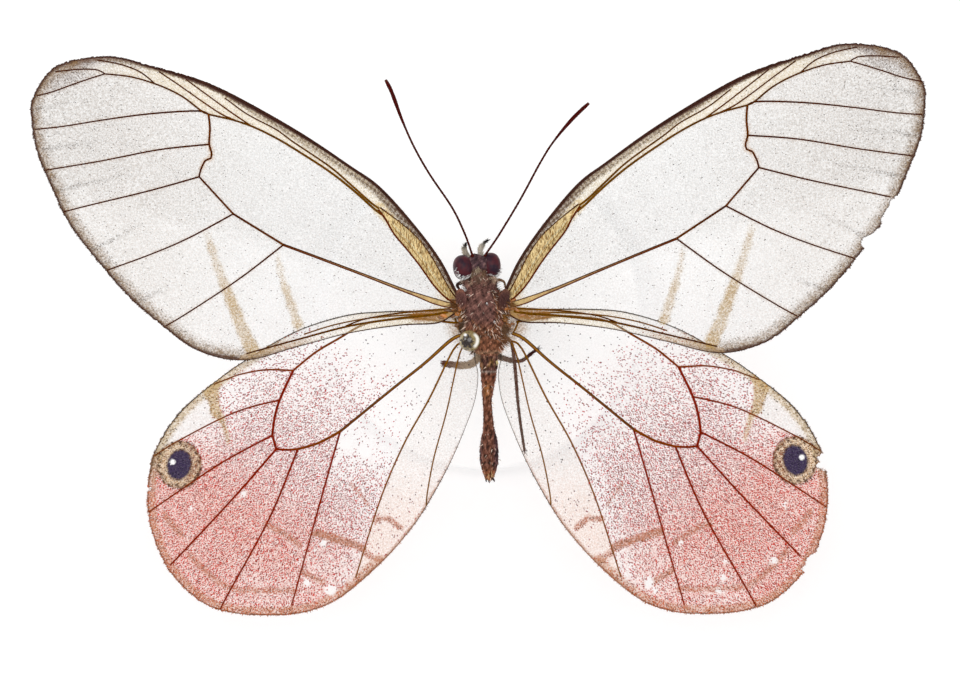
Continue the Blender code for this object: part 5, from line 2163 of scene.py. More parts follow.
    def build(self, trees: Trees, finishes: "Finishes") -> Piece:
        """Makes the skin and its coat, and gives the skin back.

        Args:
            trees: The geometry trees and the shapes they plant.
            finishes: The materials.

        Returns:
            The skin.
        """
        skin = self.skin(finishes.skin)
        hair = BODY_HAIR.over("body_hair", skin.data, trees, finishes.hair)
        place(skin, "body_hair", "head", "neck", "thorax", "metathorax", "abdomen")
        place(hair, "body_hair")
        place(self.sparkle(skin, trees, finishes), "body_hair")
        return skin

    def sparkle(self, skin: Piece, trees: Trees, finishes: "Finishes") -> Piece:
        """Painted highlights: sparse near-white locks that stand out of the hair, most along the grooves, the
        flanks and the front.

        Args:
            skin: The skin.
            trees: The geometry trees and the shapes they plant.
            finishes: The materials.

        Returns:
            The scales as a piece.
        """
        base = skin.data.copy()
        places = places_of(base)
        x, y = places[:, 0], places[:, 1]
        store(base, "lie", normals_of(base) * 0.75 + (0.0, -0.55, 0.0))
        seam = np.zeros(len(places))
        for course in GROOVES:
            away, _ = distance_to(places[:, :2], curve_through(course, 0.3))
            seam = np.maximum(seam, fade(away, 0.4, 0.1))
        flank = fade(np.abs(x), 1.9, 2.4) * fade(y, -6, -4)
        glint = 0.12 + 0.12 * ripple(x, y, 1.1, 15) + 0.75 * seam + 0.4 * flank + 0.5 * fade(y, 3.6, 4.4)
        store(base, "density", np.clip(glint * fade(y, 5.6, 5.0), 0, 1))
        store(base, "tint", with_alpha(np.tile(linear(GLINT_COLOUR), (len(places), 1))))
        return GLINTS.over("body_glints", base, trees, finishes.scales)


# Head pieces

EYE_AROUND = 56
EYE_RINGS = 40


@dataclass
class Eyes:
    """Two compound eyes."""

    def build(self, finishes: "Finishes") -> None:
        """Makes both.

        Args:
            finishes: The materials.
        """
        for name, side in SIDES:
            eye_frame = head_frame() @ Matrix.Translation((side * EYE_OUT, 0, 0))
            mesh = mesh_from(f"eye_{name}", *ball(EYE_HALF, eye_frame, EYE_AROUND, EYE_RINGS, EYE_POWER))
            mesh.shade_smooth()
            place(shown(f"compound_eye_{name}", mesh, finishes.eye), "eye", f"eye_{name}")


# Limbs


@dataclass(frozen=True)
class Limb:
    """One leg part or palp: its course above the body axis, half widths, colours and coat."""

    node: str
    points: tuple[tuple[float, float, float], ...]
    half: tuple[float, float, float]  # at its root, middle and end
    root_colour: Rgb = RED_BROWN
    tip_colour: Rgb = PURPLE_BROWN
    slot: str = "leg"
    scaled: bool = False  # thick pale scales instead of a few bristles
    claws: bool = False
    spurs: bool = False


LIMBS = (
    Limb("palp_left", ((-1.7, 6.7, -1.4), (-2.05, 7.35, -1.4), (-2.4, 7.95, -0.9), (-2.4, 8.5, -0.3),
                       (-2.15, 8.95, 0.2)),
         (0.26, 0.28, 0.07), (204, 194, 178), (34, 24, 24), "pale_scales", True),
    Limb("palp_right", ((-0.2, 6.8, -1.4), (-0.3, 7.55, -1.5), (-0.35, 8.1, -1.1), (0.0, 8.8, -0.4),
                        (0.6, 9.35, 0.2)),
         (0.26, 0.28, 0.06), (222, 214, 200), (30, 22, 24), "pale_scales", True),
    Limb("foreleg_left", ((-1.5, 3.9, -0.9), (-2.1, 3.95, -0.75), (-2.8, 3.85, -0.95), (-3.35, 3.5, -1.15),
                          (-3.05, 2.95, -1.7)),
         (0.24, 0.26, 0.14), (70, 46, 40), (58, 38, 34)),
    Limb("foreleg_right", ((0.8, 3.8, -0.9), (1.3, 4.0, -0.5), (2.05, 4.2, -0.5), (2.75, 3.9, -0.75),
                           (2.9, 3.15, -1.3)),
         (0.2, 0.18, 0.1), (116, 84, 62), (134, 104, 78)),
    Limb("midleg_left_femur", ((-1.2, -1.4, -2.2), (-1.35, -1.5, -2.75), (-1.9, -0.3, -3.5),
                               (-1.85, 1.6, -3.9), (-1.85, 1.9, -4.3)),
         (0.3, 0.34, 0.24)),
    Limb("midleg_left_tibia", ((-1.86, 2.1, -4.35), (-1.85, 1.95, -4.65), (-1.6, 0.2, -4.85),
                               (-1.5, -2.4, -4.9), (-1.7, -4.2, -4.8)),
         (0.2, 0.19, 0.13), claws=True, spurs=True),
    Limb("midleg_right_femur", ((1.2, -1.6, -2.2), (1.35, -1.75, -2.75), (1.3, -2.3, -3.3),
                                (1.2, -4.2, -3.8), (1.9, -5.7, -3.85), (3.95, -6.35, -3.45)),
         (0.3, 0.38, 0.24), (150, 138, 124), (110, 78, 66), "pale_scales", True),
    Limb("midleg_right_tibia", ((3.9, -6.35, -3.45), (4.25, -6.4, -3.35), (5.2, -6.25, -3.2),
                                (6.3, -5.4, -3.1), (7.2, -4.75, -3.2)),
         (0.23, 0.25, 0.17), (78, 16, 6), (52, 12, 8), claws=True, spurs=True),
    Limb("hindleg_left_femur", ((0.1, -3.9, -1.9), (-0.15, -4.3, -2.9), (-0.7, -5.9, -3.2),
                                (-2.0, -6.9, -3.25), (-5.3, -6.7, -3.0)),
         (0.3, 0.42, 0.3), (186, 166, 142), (92, 50, 34), "pale_scales", True),
    Limb("hindleg_right_femur", ((1.5, -4.1, -1.8), (1.95, -3.95, -2.7), (2.6, -3.2, -3.2),
                                 (3.55, -3.75, -2.7), (3.75, -4.1, -2.65)),
         (0.3, 0.33, 0.24)),
    Limb("hindleg_right_tibia", ((3.72, -4.0, -2.65), (3.8, -4.25, -2.6), (4.15, -6.9, -2.5),
                                 (4.5, -11.3, -2.8)),
         (0.23, 0.23, 0.2), (76, 18, 0), (62, 8, 0), spurs=True),
    Limb("hindleg_right_tarsus", ((4.5, -11.2, -2.8), (4.53, -11.52, -2.82), (4.9, -14.6, -3.1),
                                  (5.45, -18.2, -3.3)),
         (0.19, 0.19, 0.16), (62, 8, 0), (48, 6, 0), claws=True),
)  # fmt: skip
LIMB_STEP = 0.12
CLAW = ((0, 0, 0), (0.25, 0.1, 0), (0.42, 0.2, 0.1), (0.5, 0.22, 0.28))  # ahead, aside, down


def raised(points: Sequence[Sequence[float]]) -> Rows:
    """Points given above the body axis, above the floor."""
    return np.asarray(points, float) + (0, 0, AXIS_Z)


def dress_along(mesh: Mesh, run: Rows, stand: float, density: float, slant: float = 0.0) -> None:
    """Says how the coat lies on a tube: towards its end, raised from its skin.

    Args:
        mesh: The tube, with its colours.
        run: Its middle line.
        stand: How far the coat stands up, 0 to 1.
        density: How much of the coat grows there, 0 to 1.
        slant: How far it leans to one side.
    """
    places, normal = places_of(mesh), normals_of(mesh)
    _, where = distance_to(places, run)
    ahead = np.gradient(run, axis=0)
    index = where * (len(run) - 1)
    stations = np.arange(len(run))
    along = unit(np.column_stack([np.interp(index, stations, ahead[:, axis]) for axis in range(3)]))
    lie = along * (1 - stand) + normal * stand + np.cross(normal, along) * slant
    round_it = np.arctan2(normal[:, 2], normal[:, 0]) / (2 * math.pi) + 0.5
    set_coat(mesh, lie, normal, 1.0, (where, round_it), density=density)


def pointing(step: Rows) -> tuple[Rows, Rows]:
    """A direction made one long, and the level one to its side."""
    ahead = step / np.linalg.norm(step)
    return ahead, np.cross(ahead, UPWARDS)


@dataclass
class Legs:
    """The legs and palps with their coats, spines and claws."""

    def build(self, trees: Trees, finishes: "Finishes") -> None:
        """Makes every limb."""
        for number, limb in enumerate(LIMBS):
            self.make(limb, number, trees, finishes)

    def make(self, limb: Limb, number: int, trees: Trees, finishes: "Finishes") -> None:
        """Makes one limb.

        Args:
            limb: Its sizes.
            number: Seeds its coat.
            trees: The geometry trees.
            finishes: The materials.
        """
        run = raised(curve_through(limb.points, LIMB_STEP))
        t = np.linspace(0, 1, len(run))
        half = np.interp(t, (0, 0.5, 1), limb.half) * (1 + 0.05 * np.sin(t * 37 + number))
        half[[0, -1]] *= 0.6
        colour = mixed(limb.root_colour, limb.tip_colour, fade(t, 0.55, 0.9) if limb.scaled else t)
        colour = colour * (1 + 0.15 * ripple(run[:, 0], run[:, 1], 0.4, number))[:, None]
        runs = [(run, half, colour)]
        if limb.claws:
            runs += self.claws(run, half[-1], colour[-1])
        if limb.spurs:
            runs += self.spurs(run, half, colour)
        finish, stand, coat, kind = (
            (finishes.pale, 0.3, LIMB_SCALES, "scales") if limb.scaled
            else (finishes.horn, 0.55, LIMB_BRISTLES, "bristles")
        )  # fmt: skip
        piece = tube(f"{limb.node}_limb", runs, finish, trees, 14)
        dress_along(piece.data, run, stand, 1.0)
        hair = replace(coat, seed=number).over(f"{limb.node}_{kind}", piece.data, trees, finishes.hair)
        place(piece, limb.slot, limb.node)
        place(hair, limb.slot)

    def claws(self, run: Rows, half: float, colour: Rows) -> list[Run]:
        """Two small hooks at a limb's end.

        Args:
            run: The limb's middle line.
            half: Its half width.
            colour: Its colour.

        Returns:
            A run for each hook.
        """
        ahead, aside = pointing(run[-1] - run[-3])
        found = []
        for side in (-1, 1):
            points = [run[-1] + ahead * far + aside * side * out - (0, 0, down) for far, out, down in CLAW]
            hook = curve_through(points, 0.06)
            girth = np.linspace(half * 0.55, 0.015, len(hook))
            found.append((hook, girth, np.tile(colour * 0.7, (len(hook), 1))))
        return found

    def spurs(self, run: Rows, half: Rows, colour: Rows) -> list[Run]:
        """A pair of spines near a limb's end.

        Args:
            run: The limb's middle line.
            half: Its half width.
            colour: Its colour.

        Returns:
            A run for each spine.
        """
        index = len(run) - 4
        ahead, aside = pointing(run[index + 1] - run[index])
        reach = np.linspace(0, 0.6, 6)[:, None]
        found = []
        for side in (-1, 1):
            spine = run[index] + (ahead * 0.9 + aside * side * 0.45) * reach
            girth = np.linspace(half[index] * 0.35, 0.012, len(spine))
            found.append((spine, girth, np.tile(colour[index] * 0.8, (len(spine), 1))))
        return found


ANTENNAE = {
    "left": ((-1.35, 7.0, 0.7), (-1.42, 7.45, 0.85), (-2.35, 10.1, 1.5), (-4.0, 13.5, 2.0), (-6.9, 17.8, 2.6),
             (-8.95, 21.4, 3.0), (-10.5, 24.9, 3.3), (-11.8, 28.4, 3.5), (-12.6, 30.0, 3.6)),
    "right": ((0.2, 7.1, 0.25), (0.4, 7.55, 0.35), (2.2, 10.2, 1.2), (4.9, 14.7, 1.9), (7.4, 19.3, 2.5),
              (9.1, 22.0, 2.8), (11.5, 24.9, 3.1), (13.7, 27.0, 3.3)),
}  # fmt: skip
SHAFT_HALF = 0.14
CLUB_HALF = 0.26
CLUB_START = 0.7
ANTENNA_JOINTS = 42


@dataclass
class Feelers:
    """The two antennae: jointed shafts that thicken into slim clubs."""

    def build(self, trees: Trees, finishes: "Finishes") -> None:
        """Makes both.

        Args:
            trees: The geometry trees and the shapes they plant.
            finishes: The materials.
        """
        for name, points in ANTENNAE.items():
            run = raised(curve_through(points, 0.09))
            t = np.linspace(0, 1, len(run))
            swell = fade(t, CLUB_START, 0.9) * (1 - 0.55 * fade(t, 0.95, 1.0))
            half = SHAFT_HALF + (CLUB_HALF - SHAFT_HALF) * swell + 0.12 * fade(t, 0.035, 0.0)
            joint = np.abs(t * ANTENNA_JOINTS - np.round(t * ANTENNA_JOINTS))
            crowd = np.abs(t * 2.2 * ANTENNA_JOINTS - np.round(t * 2.2 * ANTENNA_JOINTS))
            joint = np.where(t > CLUB_START, crowd, joint)
            half = half * (1 - 0.16 * fade(joint, 0.16, 0.0))
            half[-1] *= 0.3
            colour = mixed((62, 12, 4), (66, 6, 2), fade(t, CLUB_START - 0.05, CLUB_START + 0.12))
            colour = laid(colour, (84, 36, 24), fade(t, 0.965, 1.0))
            colour = colour * (0.7 + 0.45 * fade(joint, 0.0, 0.2))[:, None]
            piece = tube(f"feeler_{name}", [(run, half, colour)], finishes.horn, trees, 14)
            dress_along(piece.data, run, 0.3, 0.7)
            hair = FEELER_BRISTLES.over(f"feeler_{name}_bristles", piece.data, trees, finishes.hair)
            place(piece, "antenna", f"antenna_{name}")
            place(hair, "antenna")


@dataclass
class Tongue:
    """The coiled tongue: two half tubes side by side, ringed."""

    centre: tuple[float, float, float] = (-1.2, 6.4, -2.8)
    outer: float = 1.15
    inner: float = 0.36
    turns: float = 2.1
    half: float = 0.15
    points: int = 220

    def build(self, trees: Trees, finishes: "Finishes") -> None:
        """Makes the coil.

        Args:
            trees: The geometry trees and the shapes they plant.
            finishes: The materials.
        """
        t = np.linspace(0, 1, self.points)
        reach = self.outer + (self.inner - self.outer) * t
        angle = math.pi / 2 - 2 * math.pi * self.turns * t
        x, y, z = self.centre
        rings = 1 - 0.1 * (np.arange(self.points) % 3 == 0)
        runs = []
        for side in (-1, 1):
            run = raised(np.column_stack([np.full(self.points, x + side * self.half * 0.6),
                                          y + reach * np.cos(angle), z + reach * np.sin(angle)]))  # fmt: skip
            half = self.half * (1 - 0.45 * t) * rings
            runs.append((run, half, mixed((58, 34, 22), (120, 74, 38), t)))
        place(tube("tongue", runs, finishes.horn, trees, 12), "leg", "proboscis")


TEGULA = (2.75, 1.7, 1.35)
TEGULA_HALF = (0.75, 1.35, 0.36)
SCLERITE_COLOUR = (134, 82, 34)
TEGULA_LIT_AND_SHADED = {-1: 1.75, 1: 1.1}  # painted light and shade: the left one painted lighter, as lit, the right one darker, as in shade
SCLERITES = (  # for the right side: place above the body axis, half sizes, turn
    ((3.3, 1.2, 1.05), (0.75, 0.4, 0.35), 0.3), ((3.9, 1.5, 0.95), (0.6, 0.26, 0.22), 0.5),
    ((3.6, 0.5, 0.9), (0.8, 0.34, 0.3), -0.1), ((4.5, 0.2, 0.85), (0.9, 0.32, 0.26), -0.15),
    ((3.3, -0.2, 0.75), (0.55, 0.45, 0.35), 0.6), ((3.9, -0.5, 0.6), (0.7, 0.3, 0.25), -0.3),
    ((5.2, -0.4, 0.8), (1.0, 0.42, 0.26), -0.05), ((3.0, 0.6, 1.25), (0.4, 0.7, 0.35), 0.1),
    ((2.9, -1.0, 0.5), (0.45, 0.5, 0.4), 0.3), ((3.3, -1.7, 0.1), (0.6, 0.35, 0.3), -0.6),
)  # fmt: skip


@dataclass
class Sclerites:
    """The small glossy plates that hinge the wings to the thorax."""

    def build(self, finishes: "Finishes") -> None:
        """Makes them as one piece a side.

        Args:
            finishes: The materials.
        """
        draw = np.random.default_rng(5)
        for name, side in SIDES:
            forms, tints = [], []
            for number, ((x, y, z), half, turn) in enumerate(SCLERITES * 2):
                small = number >= len(SCLERITES)
                nudge = draw.normal(0, 0.28, 3) * (1, 1, 0.4) if small else np.zeros(3)
                size = np.asarray(half) * (0.5 if small else 0.72)
                turned = side * turn + draw.normal(0, 0.4)
                matrix = at(side * (x + nudge[0]), y + nudge[1], z + nudge[2], turned)
                spots, corners = ball(size, matrix, 24, 14, 2.3)
                bumps = 1 + 0.16 * ripple(spots[:, 0], spots[:, 1], 0.4, x)
                middle = spots.mean(0)
                forms.append((middle + (spots - middle) * bumps[:, None], corners))
                tints.append(np.tile(linear(SCLERITE_COLOUR) * draw.uniform(0.35, 1.7), (len(spots), 1)))
            mesh = mesh_from(f"wing_root_plates_{name}", *joined(forms))
            mesh.shade_smooth()
            store(mesh, "tint", with_alpha(np.vstack(tints)))
            place(shown(f"wing_root_plates_{name}", mesh, finishes.sclerite), "body_hair")


@dataclass
class Tegulae:
    """The scaled covers over the forewing roots."""

    def build(self, trees: Trees, finishes: "Finishes") -> None:
        """Makes both.

        Args:
            trees: The geometry trees and the shapes they plant.
            finishes: The materials.
        """
        x, y, z = TEGULA
        for name, side in SIDES:
            matrix = at(side * x, y, z, side * -0.15) @ Matrix.Rotation(side * 0.6, 4, "Y")
            places, faces = ball(TEGULA_HALF, matrix, 40, 20)
            mesh = mesh_from(f"tegula_{name}_cover", places, faces)
            mesh.shade_smooth()
            normal = normals_of(mesh)
            rim = fade(np.hypot(places[:, 0] - side * x, places[:, 1] - y), 0.6, 1.15)
            # Painted light and shade: the left cover is painted lighter than the right one.
            tint = TEGULA_LIT_AND_SHADED[side] * mixed((78, 50, 46), (96, 62, 50), rim)
            lie = np.array((side * 0.55, -0.83, 0)) * 0.8 + normal * 0.2
            patch = (places[:, 0] / PLATE_UNWRAP + 0.5, places[:, 1] / PLATE_UNWRAP + 0.3)
            set_coat(mesh, lie, normal, 1.0, patch, tint, 1.0)
            piece = shown(f"tegula_{name}_cover", mesh, finishes.skin)
            hair = TEGULA_SCALES.over(f"tegula_{name}_hair", mesh, trees, finishes.hair)
            place(piece, "body_hair", f"tegula_{name}")
            place(hair, "body_hair")


DROP_CENTRE = (-1.72, -3.7, 1.5)
DROP_HALF = (1.38, 1.38, 1.2)


@dataclass
class Drop:
    """The clear drop at the left hindwing's root."""

    def inside(self, reach: Rows) -> tuple[Rows, Rows]:
        """What is painted in the drop: a dark core, a painted refraction of the dark body behind it, dark
        mottling, and painted light: a pale rim highlight on the left, the light it gathers along its far side
        and a highlight dot.

        Args:
            reach: Points on it, as shares of its half sizes.

        Returns:
            Colour and cover of each.
        """
        u, v, up = reach.T
        grain = ripple(u, v, 0.16, 3)
        top = fade(up, -0.1, 0.2)
        rim = np.hypot(u, v)
        # Painted refraction: the dark core stands for the dark body seen through the drop.
        core = fade(np.hypot(u + 0.24, v * 0.9 + 0.1) + 0.4 * grain, 0.64, 0.46) * top
        spots = fade(grain, 0.05, 0.4) * fade(rim, 1.0, 0.8) * 0.75
        # Painted light: the light gathered along the far side, a highlight dot and a pale rim highlight on
        # the left.
        painted_gathered_light = fade(np.abs(rim - 0.74), 0.2, 0.07) * fade(u / np.maximum(rim, 0.01), 0.35, 0.75) * top
        dot = fade(np.hypot(u + 0.42, v - 0.55), 0.2, 0.08) * top
        left = fade(np.abs(rim - 0.84), 0.12, 0.03) * fade(-u / np.maximum(rim, 0.01), 0.4, 0.8) * top * 0.5
        tint = np.tile(linear((184, 164, 112)), (len(u), 1))
        cover = np.full(len(u), 0.62)
        for colour, amount, thick in (((84, 66, 48), spots, 0.8), ((226, 214, 180), left, 0.9),
                                      ((34, 24, 20), core, 0.97), ((255, 253, 244), painted_gathered_light, 0.98),
                                      ((255, 255, 255), dot, 0.98)):  # fmt: skip
            tint = laid(tint, colour, amount)
            cover = cover * (1 - amount) + thick * amount
        return tint, cover

    def build(self, finishes: "Finishes") -> None:
        """Makes the drop.

        Args:
            finishes: The materials.
        """
        places, faces = ball(DROP_HALF, at(*DROP_CENTRE), 48, 28)
        x, y, z = DROP_CENTRE
        reach = places - (x, y, AXIS_Z + z)
        swell = 1 + 0.05 * ripple(reach[:, 0] + reach[:, 2], reach[:, 1] - reach[:, 2], 1.6, 4)
        mesh = mesh_from("clear_drop", reach * swell[:, None] + (x, y, AXIS_Z + z), faces)
        mesh.shade_smooth()
        tint, cover = self.inside(reach / DROP_HALF)
        store(mesh, "tint", with_alpha(tint, cover))
        place(shown("clear_drop", mesh, finishes.resin), "glue_drop", "glue_drop")


@dataclass(frozen=True)
class Tuft:
    """A bunch of long hairs on the body."""

    root: tuple[float, float, float]  # above the body axis
    lie: tuple[float, float, float]
    spread: float
    count: int
    length: float
    colour: Rgb


TUFTS = (
    Tuft((-2.9, -1.6, 0.5), (-0.8, -0.5, 0.1), 0.4, 50, 0.8, (96, 74, 56)),
    Tuft((-2.9, -2.6, 0.3), (-0.9, -0.3, 0.1), 0.35, 40, 0.7, (84, 66, 50)),
    Tuft((-1.6, -5.2, 0.4), (-0.5, -0.8, 0.1), 0.3, 36, 0.8, (104, 80, 60)),
    Tuft((2.6, -2.0, 0.5), (0.7, -0.5, 0.1), 0.5, 90, 1.2, (112, 82, 58)),
    Tuft((2.5, -3.3, 0.6), (0.8, -0.4, 0.1), 0.55, 110, 1.25, (116, 76, 48)),
    Tuft((3.0, 1.1, 0.9), (1.0, -0.25, 0.05), 0.45, 70, 1.7, (128, 88, 48)),
    Tuft((-3.1, 1.1, 0.9), (-1.0, -0.25, 0.05), 0.4, 64, 1.5, (108, 70, 38)),
    Tuft((2.9, -0.4, 0.6), (1.0, -0.1, 0.1), 0.4, 50, 1.4, (140, 96, 50)),
    Tuft((-2.9, -0.3, 0.6), (-1.0, -0.1, 0.1), 0.4, 50, 1.3, (122, 82, 40)),
    Tuft((-2.5, 2.8, 0.6), (-0.8, 0.3, 0.2), 0.35, 50, 0.8, (70, 46, 40)),
    Tuft((2.2, 3.1, 0.6), (0.8, 0.35, 0.2), 0.35, 50, 0.8, (70, 46, 40)),
    Tuft((-1.5, 5.0, 1.0), (-0.3, -0.8, 0.4), 0.3, 60, 0.55, (150, 126, 104)),
    Tuft((-0.7, 5.5, 1.2), (-0.1, -0.9, 0.4), 0.35, 80, 0.55, (176, 156, 132)),
    Tuft((0.2, 5.0, 1.0), (0.2, -0.8, 0.4), 0.3, 60, 0.55, (140, 108, 84)),
    Tuft((-0.6, 4.3, 0.9), (0.0, -0.9, 0.3), 0.4, 90, 0.6, (120, 92, 78)),
    Tuft((-2.6, 4.6, 0.3), (-0.7, -0.6, 0.2), 0.25, 50, 0.6, (206, 196, 184)),
    Tuft((-1.9, 4.9, 0.8), (-0.4, -0.8, 0.4), 0.3, 36, 0.5, (228, 218, 202)),
    Tuft((0.9, 4.7, 0.8), (0.3, -0.8, 0.4), 0.3, 36, 0.5, (206, 186, 158)),
    Tuft((1.3, 4.4, 0.3), (0.6, -0.6, 0.2), 0.25, 40, 0.6, (190, 170, 152)),
    # These three white tufts on the thorax are painted glints: white locks where highlights fall.
    Tuft((0.45, 1.2, 2.45), (0.1, -0.9, 0.4), 0.06, 7, 0.5, WHITE),
    Tuft((-2.0, 2.4, 1.6), (-0.5, -0.6, 0.4), 0.06, 6, 0.45, WHITE),
    Tuft((1.4, -1.15, 2.0), (0.5, -0.7, 0.4), 0.08, 8, 0.5, WHITE),
    Tuft((-0.55, 6.7, 1.25), (0.1, 0.6, 0.6), 0.3, 40, 0.35, (84, 58, 60)),
    Tuft((0.9, -20.9, -0.8), (0.1, -0.9, 0.2), 0.3, 26, 0.6, (196, 160, 116)),
    Tuft((0.6, -21.0, -1.4), (0.0, -0.9, -0.2), 0.3, 40, 0.6, (130, 84, 52)),
    Tuft((1.5, -6.4, 0.3), (0.3, -0.9, 0.2), 0.18, 20, 0.6, (216, 196, 140)),
)


@dataclass
class Tufts:
    """Hair bunches, eye rims and the tail's claspers."""

    skin: Piece
    seed: int = 21

    def rooted(self, spots: Rows) -> tuple[Rows, Rows]:
        """The nearest places on the skin, and which way is up there.

        Args:
            spots: Points in millimetres.

        Returns:
            Places in millimetres, and normals.
        """
        mesh = self.skin.data
        corners = [tuple(vertex.co) for vertex in mesh.vertices]
        finder = BVHTree.FromPolygons(corners, [tuple(face.vertices) for face in mesh.polygons])
        found = [finder.find_nearest(Vector(spot) * MM)[:2] for spot in spots]
        places, normals = zip(*found, strict=True)
        return np.array([tuple(spot / MM) for spot in places]), np.array([tuple(way) for way in normals])

    def bunches(self, trees: Trees, finishes: "Finishes") -> None:
        """Makes the hair bunches as one piece.

        Args:
            trees: The geometry trees and the shapes they plant.
            finishes: The materials.
        """
        draw = np.random.default_rng(self.seed)
        rows = []
        for tuft in TUFTS:
            jitter = draw.normal(0, 1, (tuft.count, 3)) * tuft.spread * 0.6
            roots = raised([tuft.root]) + jitter
            lie = np.asarray(tuft.lie) + draw.normal(0, 0.22, (tuft.count, 3)) + jitter * 0.25
            shade = linear(tuft.colour) * draw.uniform(0.65, 1.25, (tuft.count, 1))
            size = np.full(tuft.count, tuft.length)
            rows.append((roots, lie, shade, size))
        roots, lie, shade, size = (np.concatenate(parts) for parts in zip(*rows, strict=True))
        roots, up = self.rooted(roots)
        base = mesh_from("hair_bunches", roots, [])
        patch = (roots[:, 0] / PLATE_UNWRAP + 0.5, (roots[:, 1] - BODY_UNWRAP[0]) / BODY_UNWRAP[1])
        set_coat(base, lie, up, size, patch, np.clip(shade, 0, 1))
        place(BUNCHED_HAIR.on("hair_bunches", base, trees, finishes.hair), "body_hair")

    def eye_rims(self, trees: Trees, finishes: "Finishes") -> None:
        """White scales along the rear edge of each eye.

        Args:
            trees: The geometry trees and the shapes they plant.
            finishes: The materials.
        """
        roots, lies, tints = [], [], []
        draw = np.random.default_rng(self.seed + 1)
        turn = head_frame()
        for side in (-1, 1):
            for place_along in np.linspace(-0.8, 0.85, 110):
                across = place_along + draw.normal(0, 0.03)
                high = 0.5 + draw.normal(0, 0.1)
                left_over = 1 - abs(across) ** EYE_POWER - abs(high) ** EYE_POWER
                deep = max(left_over, 0.0) ** (1 / EYE_POWER)
                wide, long, tall = EYE_HALF
                spot = Vector((side * (EYE_OUT + wide * across), -long * deep, tall * high))
                roots.append(tuple(turn @ spot))
                lies.append(tuple(turn.to_3x3() @ Vector((side * 0.9, draw.normal(-0.3, 0.25), 0.1))))
                tints.append(linear(WHITE) * draw.uniform(0.35, 1.0))
        base = mesh_from("eye_rims", np.array(roots), [])
        patch = (np.linspace(0, 1, len(roots)), 0.3)
        set_coat(base, np.array(lies), (0.0, -0.4, 0.9), 1.0, patch, np.array(tints))
        place(EYE_RIM_SCALES.on("eye_rims", base, trees, finishes.hair), "body_hair")

    def claspers(self, trees: Trees, finishes: "Finishes") -> None:
        """Two dark hooks and a spine at the tail's tip.

        Args:
            trees: The geometry trees and the shapes they plant.
            finishes: The materials.
        """
        dark = linear((54, 36, 34))
        runs = []
        for points, half in (
            (((0.9, -21.4, -1.0), (1.35, -21.75, -0.9), (1.5, -22.05, -1.0)), (0.26, 0.06)),
            (((0.75, -21.5, -1.2), (0.78, -22.0, -1.2), (0.85, -22.25, -1.25)), (0.22, 0.04)),
            (((0.55, -21.4, -1.4), (0.4, -21.8, -1.5), (0.45, -22.1, -1.6)), (0.2, 0.05)),
        ):
            run = raised(curve_through(points, 0.08))
            runs.append((run, np.linspace(*half, len(run)), np.tile(dark, (len(run), 1))))
        place(tube("claspers", runs, finishes.horn, trees, 12), "body_hair")

    def build(self, trees: Trees, finishes: "Finishes") -> None:
        """Makes all of them.

        Args:
            trees: The geometry trees and the shapes they plant.
            finishes: The materials.
        """
        self.bunches(trees, finishes)
        self.eye_rims(trees, finishes)
        self.claspers(trees, finishes)


# Stage


@dataclass
class Stand:
    """The plain stand: a low round base and one rod."""

    base_radius: float = 21.0
    base_height: float = 3.0
    rounding: float = 0.5
    rod_radius: float = 0.8
    sides: int = 96

    def turned(self, name: str, profile: Sequence[tuple[float, float]]) -> Mesh:
        """A closed turned shape.

        Args:
            name: Its name.
            profile: Radius and height from the middle of its underside to the middle of its top.

        Returns:
            The mesh.
        """
        angle = np.linspace(0, 2 * math.pi, self.sides, endpoint=False)
        inner = profile[1:-1]
        circle = np.column_stack([np.cos(angle), np.sin(angle), np.zeros(self.sides)])
        places = [np.array([[0.0, 0.0, profile[0][1]]])]
        places += [circle * radius + (0, 0, level) for radius, level in inner]
        places.append(np.array([[0.0, 0.0, profile[-1][1]]]))
        end = 1 + len(inner) * self.sides
        faces = []
        for side in range(self.sides):
            after = (side + 1) % self.sides
            faces.append((0, 1 + after, 1 + side))
            last = 1 + (len(inner) - 1) * self.sides
            faces.append((end, last + side, last + after))
            for ring in range(len(inner) - 1):
                start = 1 + ring * self.sides
                up = start + self.sides
                faces.append((start + side, start + after, up + after, up + side))
        mesh = mesh_from(name, np.vstack(places), faces)
        mesh.shade_smooth()
        mesh.set_sharp_from_angle(angle=math.radians(35))
        return mesh

    def build(self, finishes: "Finishes") -> None:
        """Makes base and rod.

        Args:
            finishes: The materials.
        """
        low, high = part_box("stand_pin")
        foot, head = low.z / MM, high.z / MM
        r, h, b = self.base_radius, self.base_height, self.rounding
        bend = [(r - b + b * math.sin(t), h - b + b * math.cos(t)) for t in np.linspace(math.pi / 2, 0, 7)]
        mesh = self.turned("base", [(0, 0), (r - 0.3, 0), (r, 0.3), *bend, (0, h)])
        place(shown("display_base", mesh, finishes.base), "stand_base", "stand_base")
        band = [(0, 0.5), (r + 0.015, 0.5), (r + 0.015, 2.2), (0, 2.2)]
        place(shown("base_band", self.turned("base_band", band), finishes.band), "stand_base")
        rod = self.rod_radius
        profile = [(0, self.base_height - 0.2), (rod * 1.9, self.base_height - 0.2), (rod * 1.9, foot + 0.5),
                   (rod * 1.6, foot + 0.8), (rod, foot + 0.9), (rod, head), (0, head + 0.25)]  # fmt: skip
        mesh = self.turned("rod", profile)
        place(shown("display_rod", mesh, finishes.steel), "stand_pin", "stand_pin")


FLOOR_AND_BASE_COLOURS = ((206, 206, 206), (205, 205, 205))  # colours of floor and base
LAMPS = (  # name, place, width and power
    ("overhead", (0, 60, 520), 420, 1.3), ("left", (-420, 160, 340), 260, 0.7),
    ("right", (420, -60, 340), 260, 0.35),
)  # fmt: skip


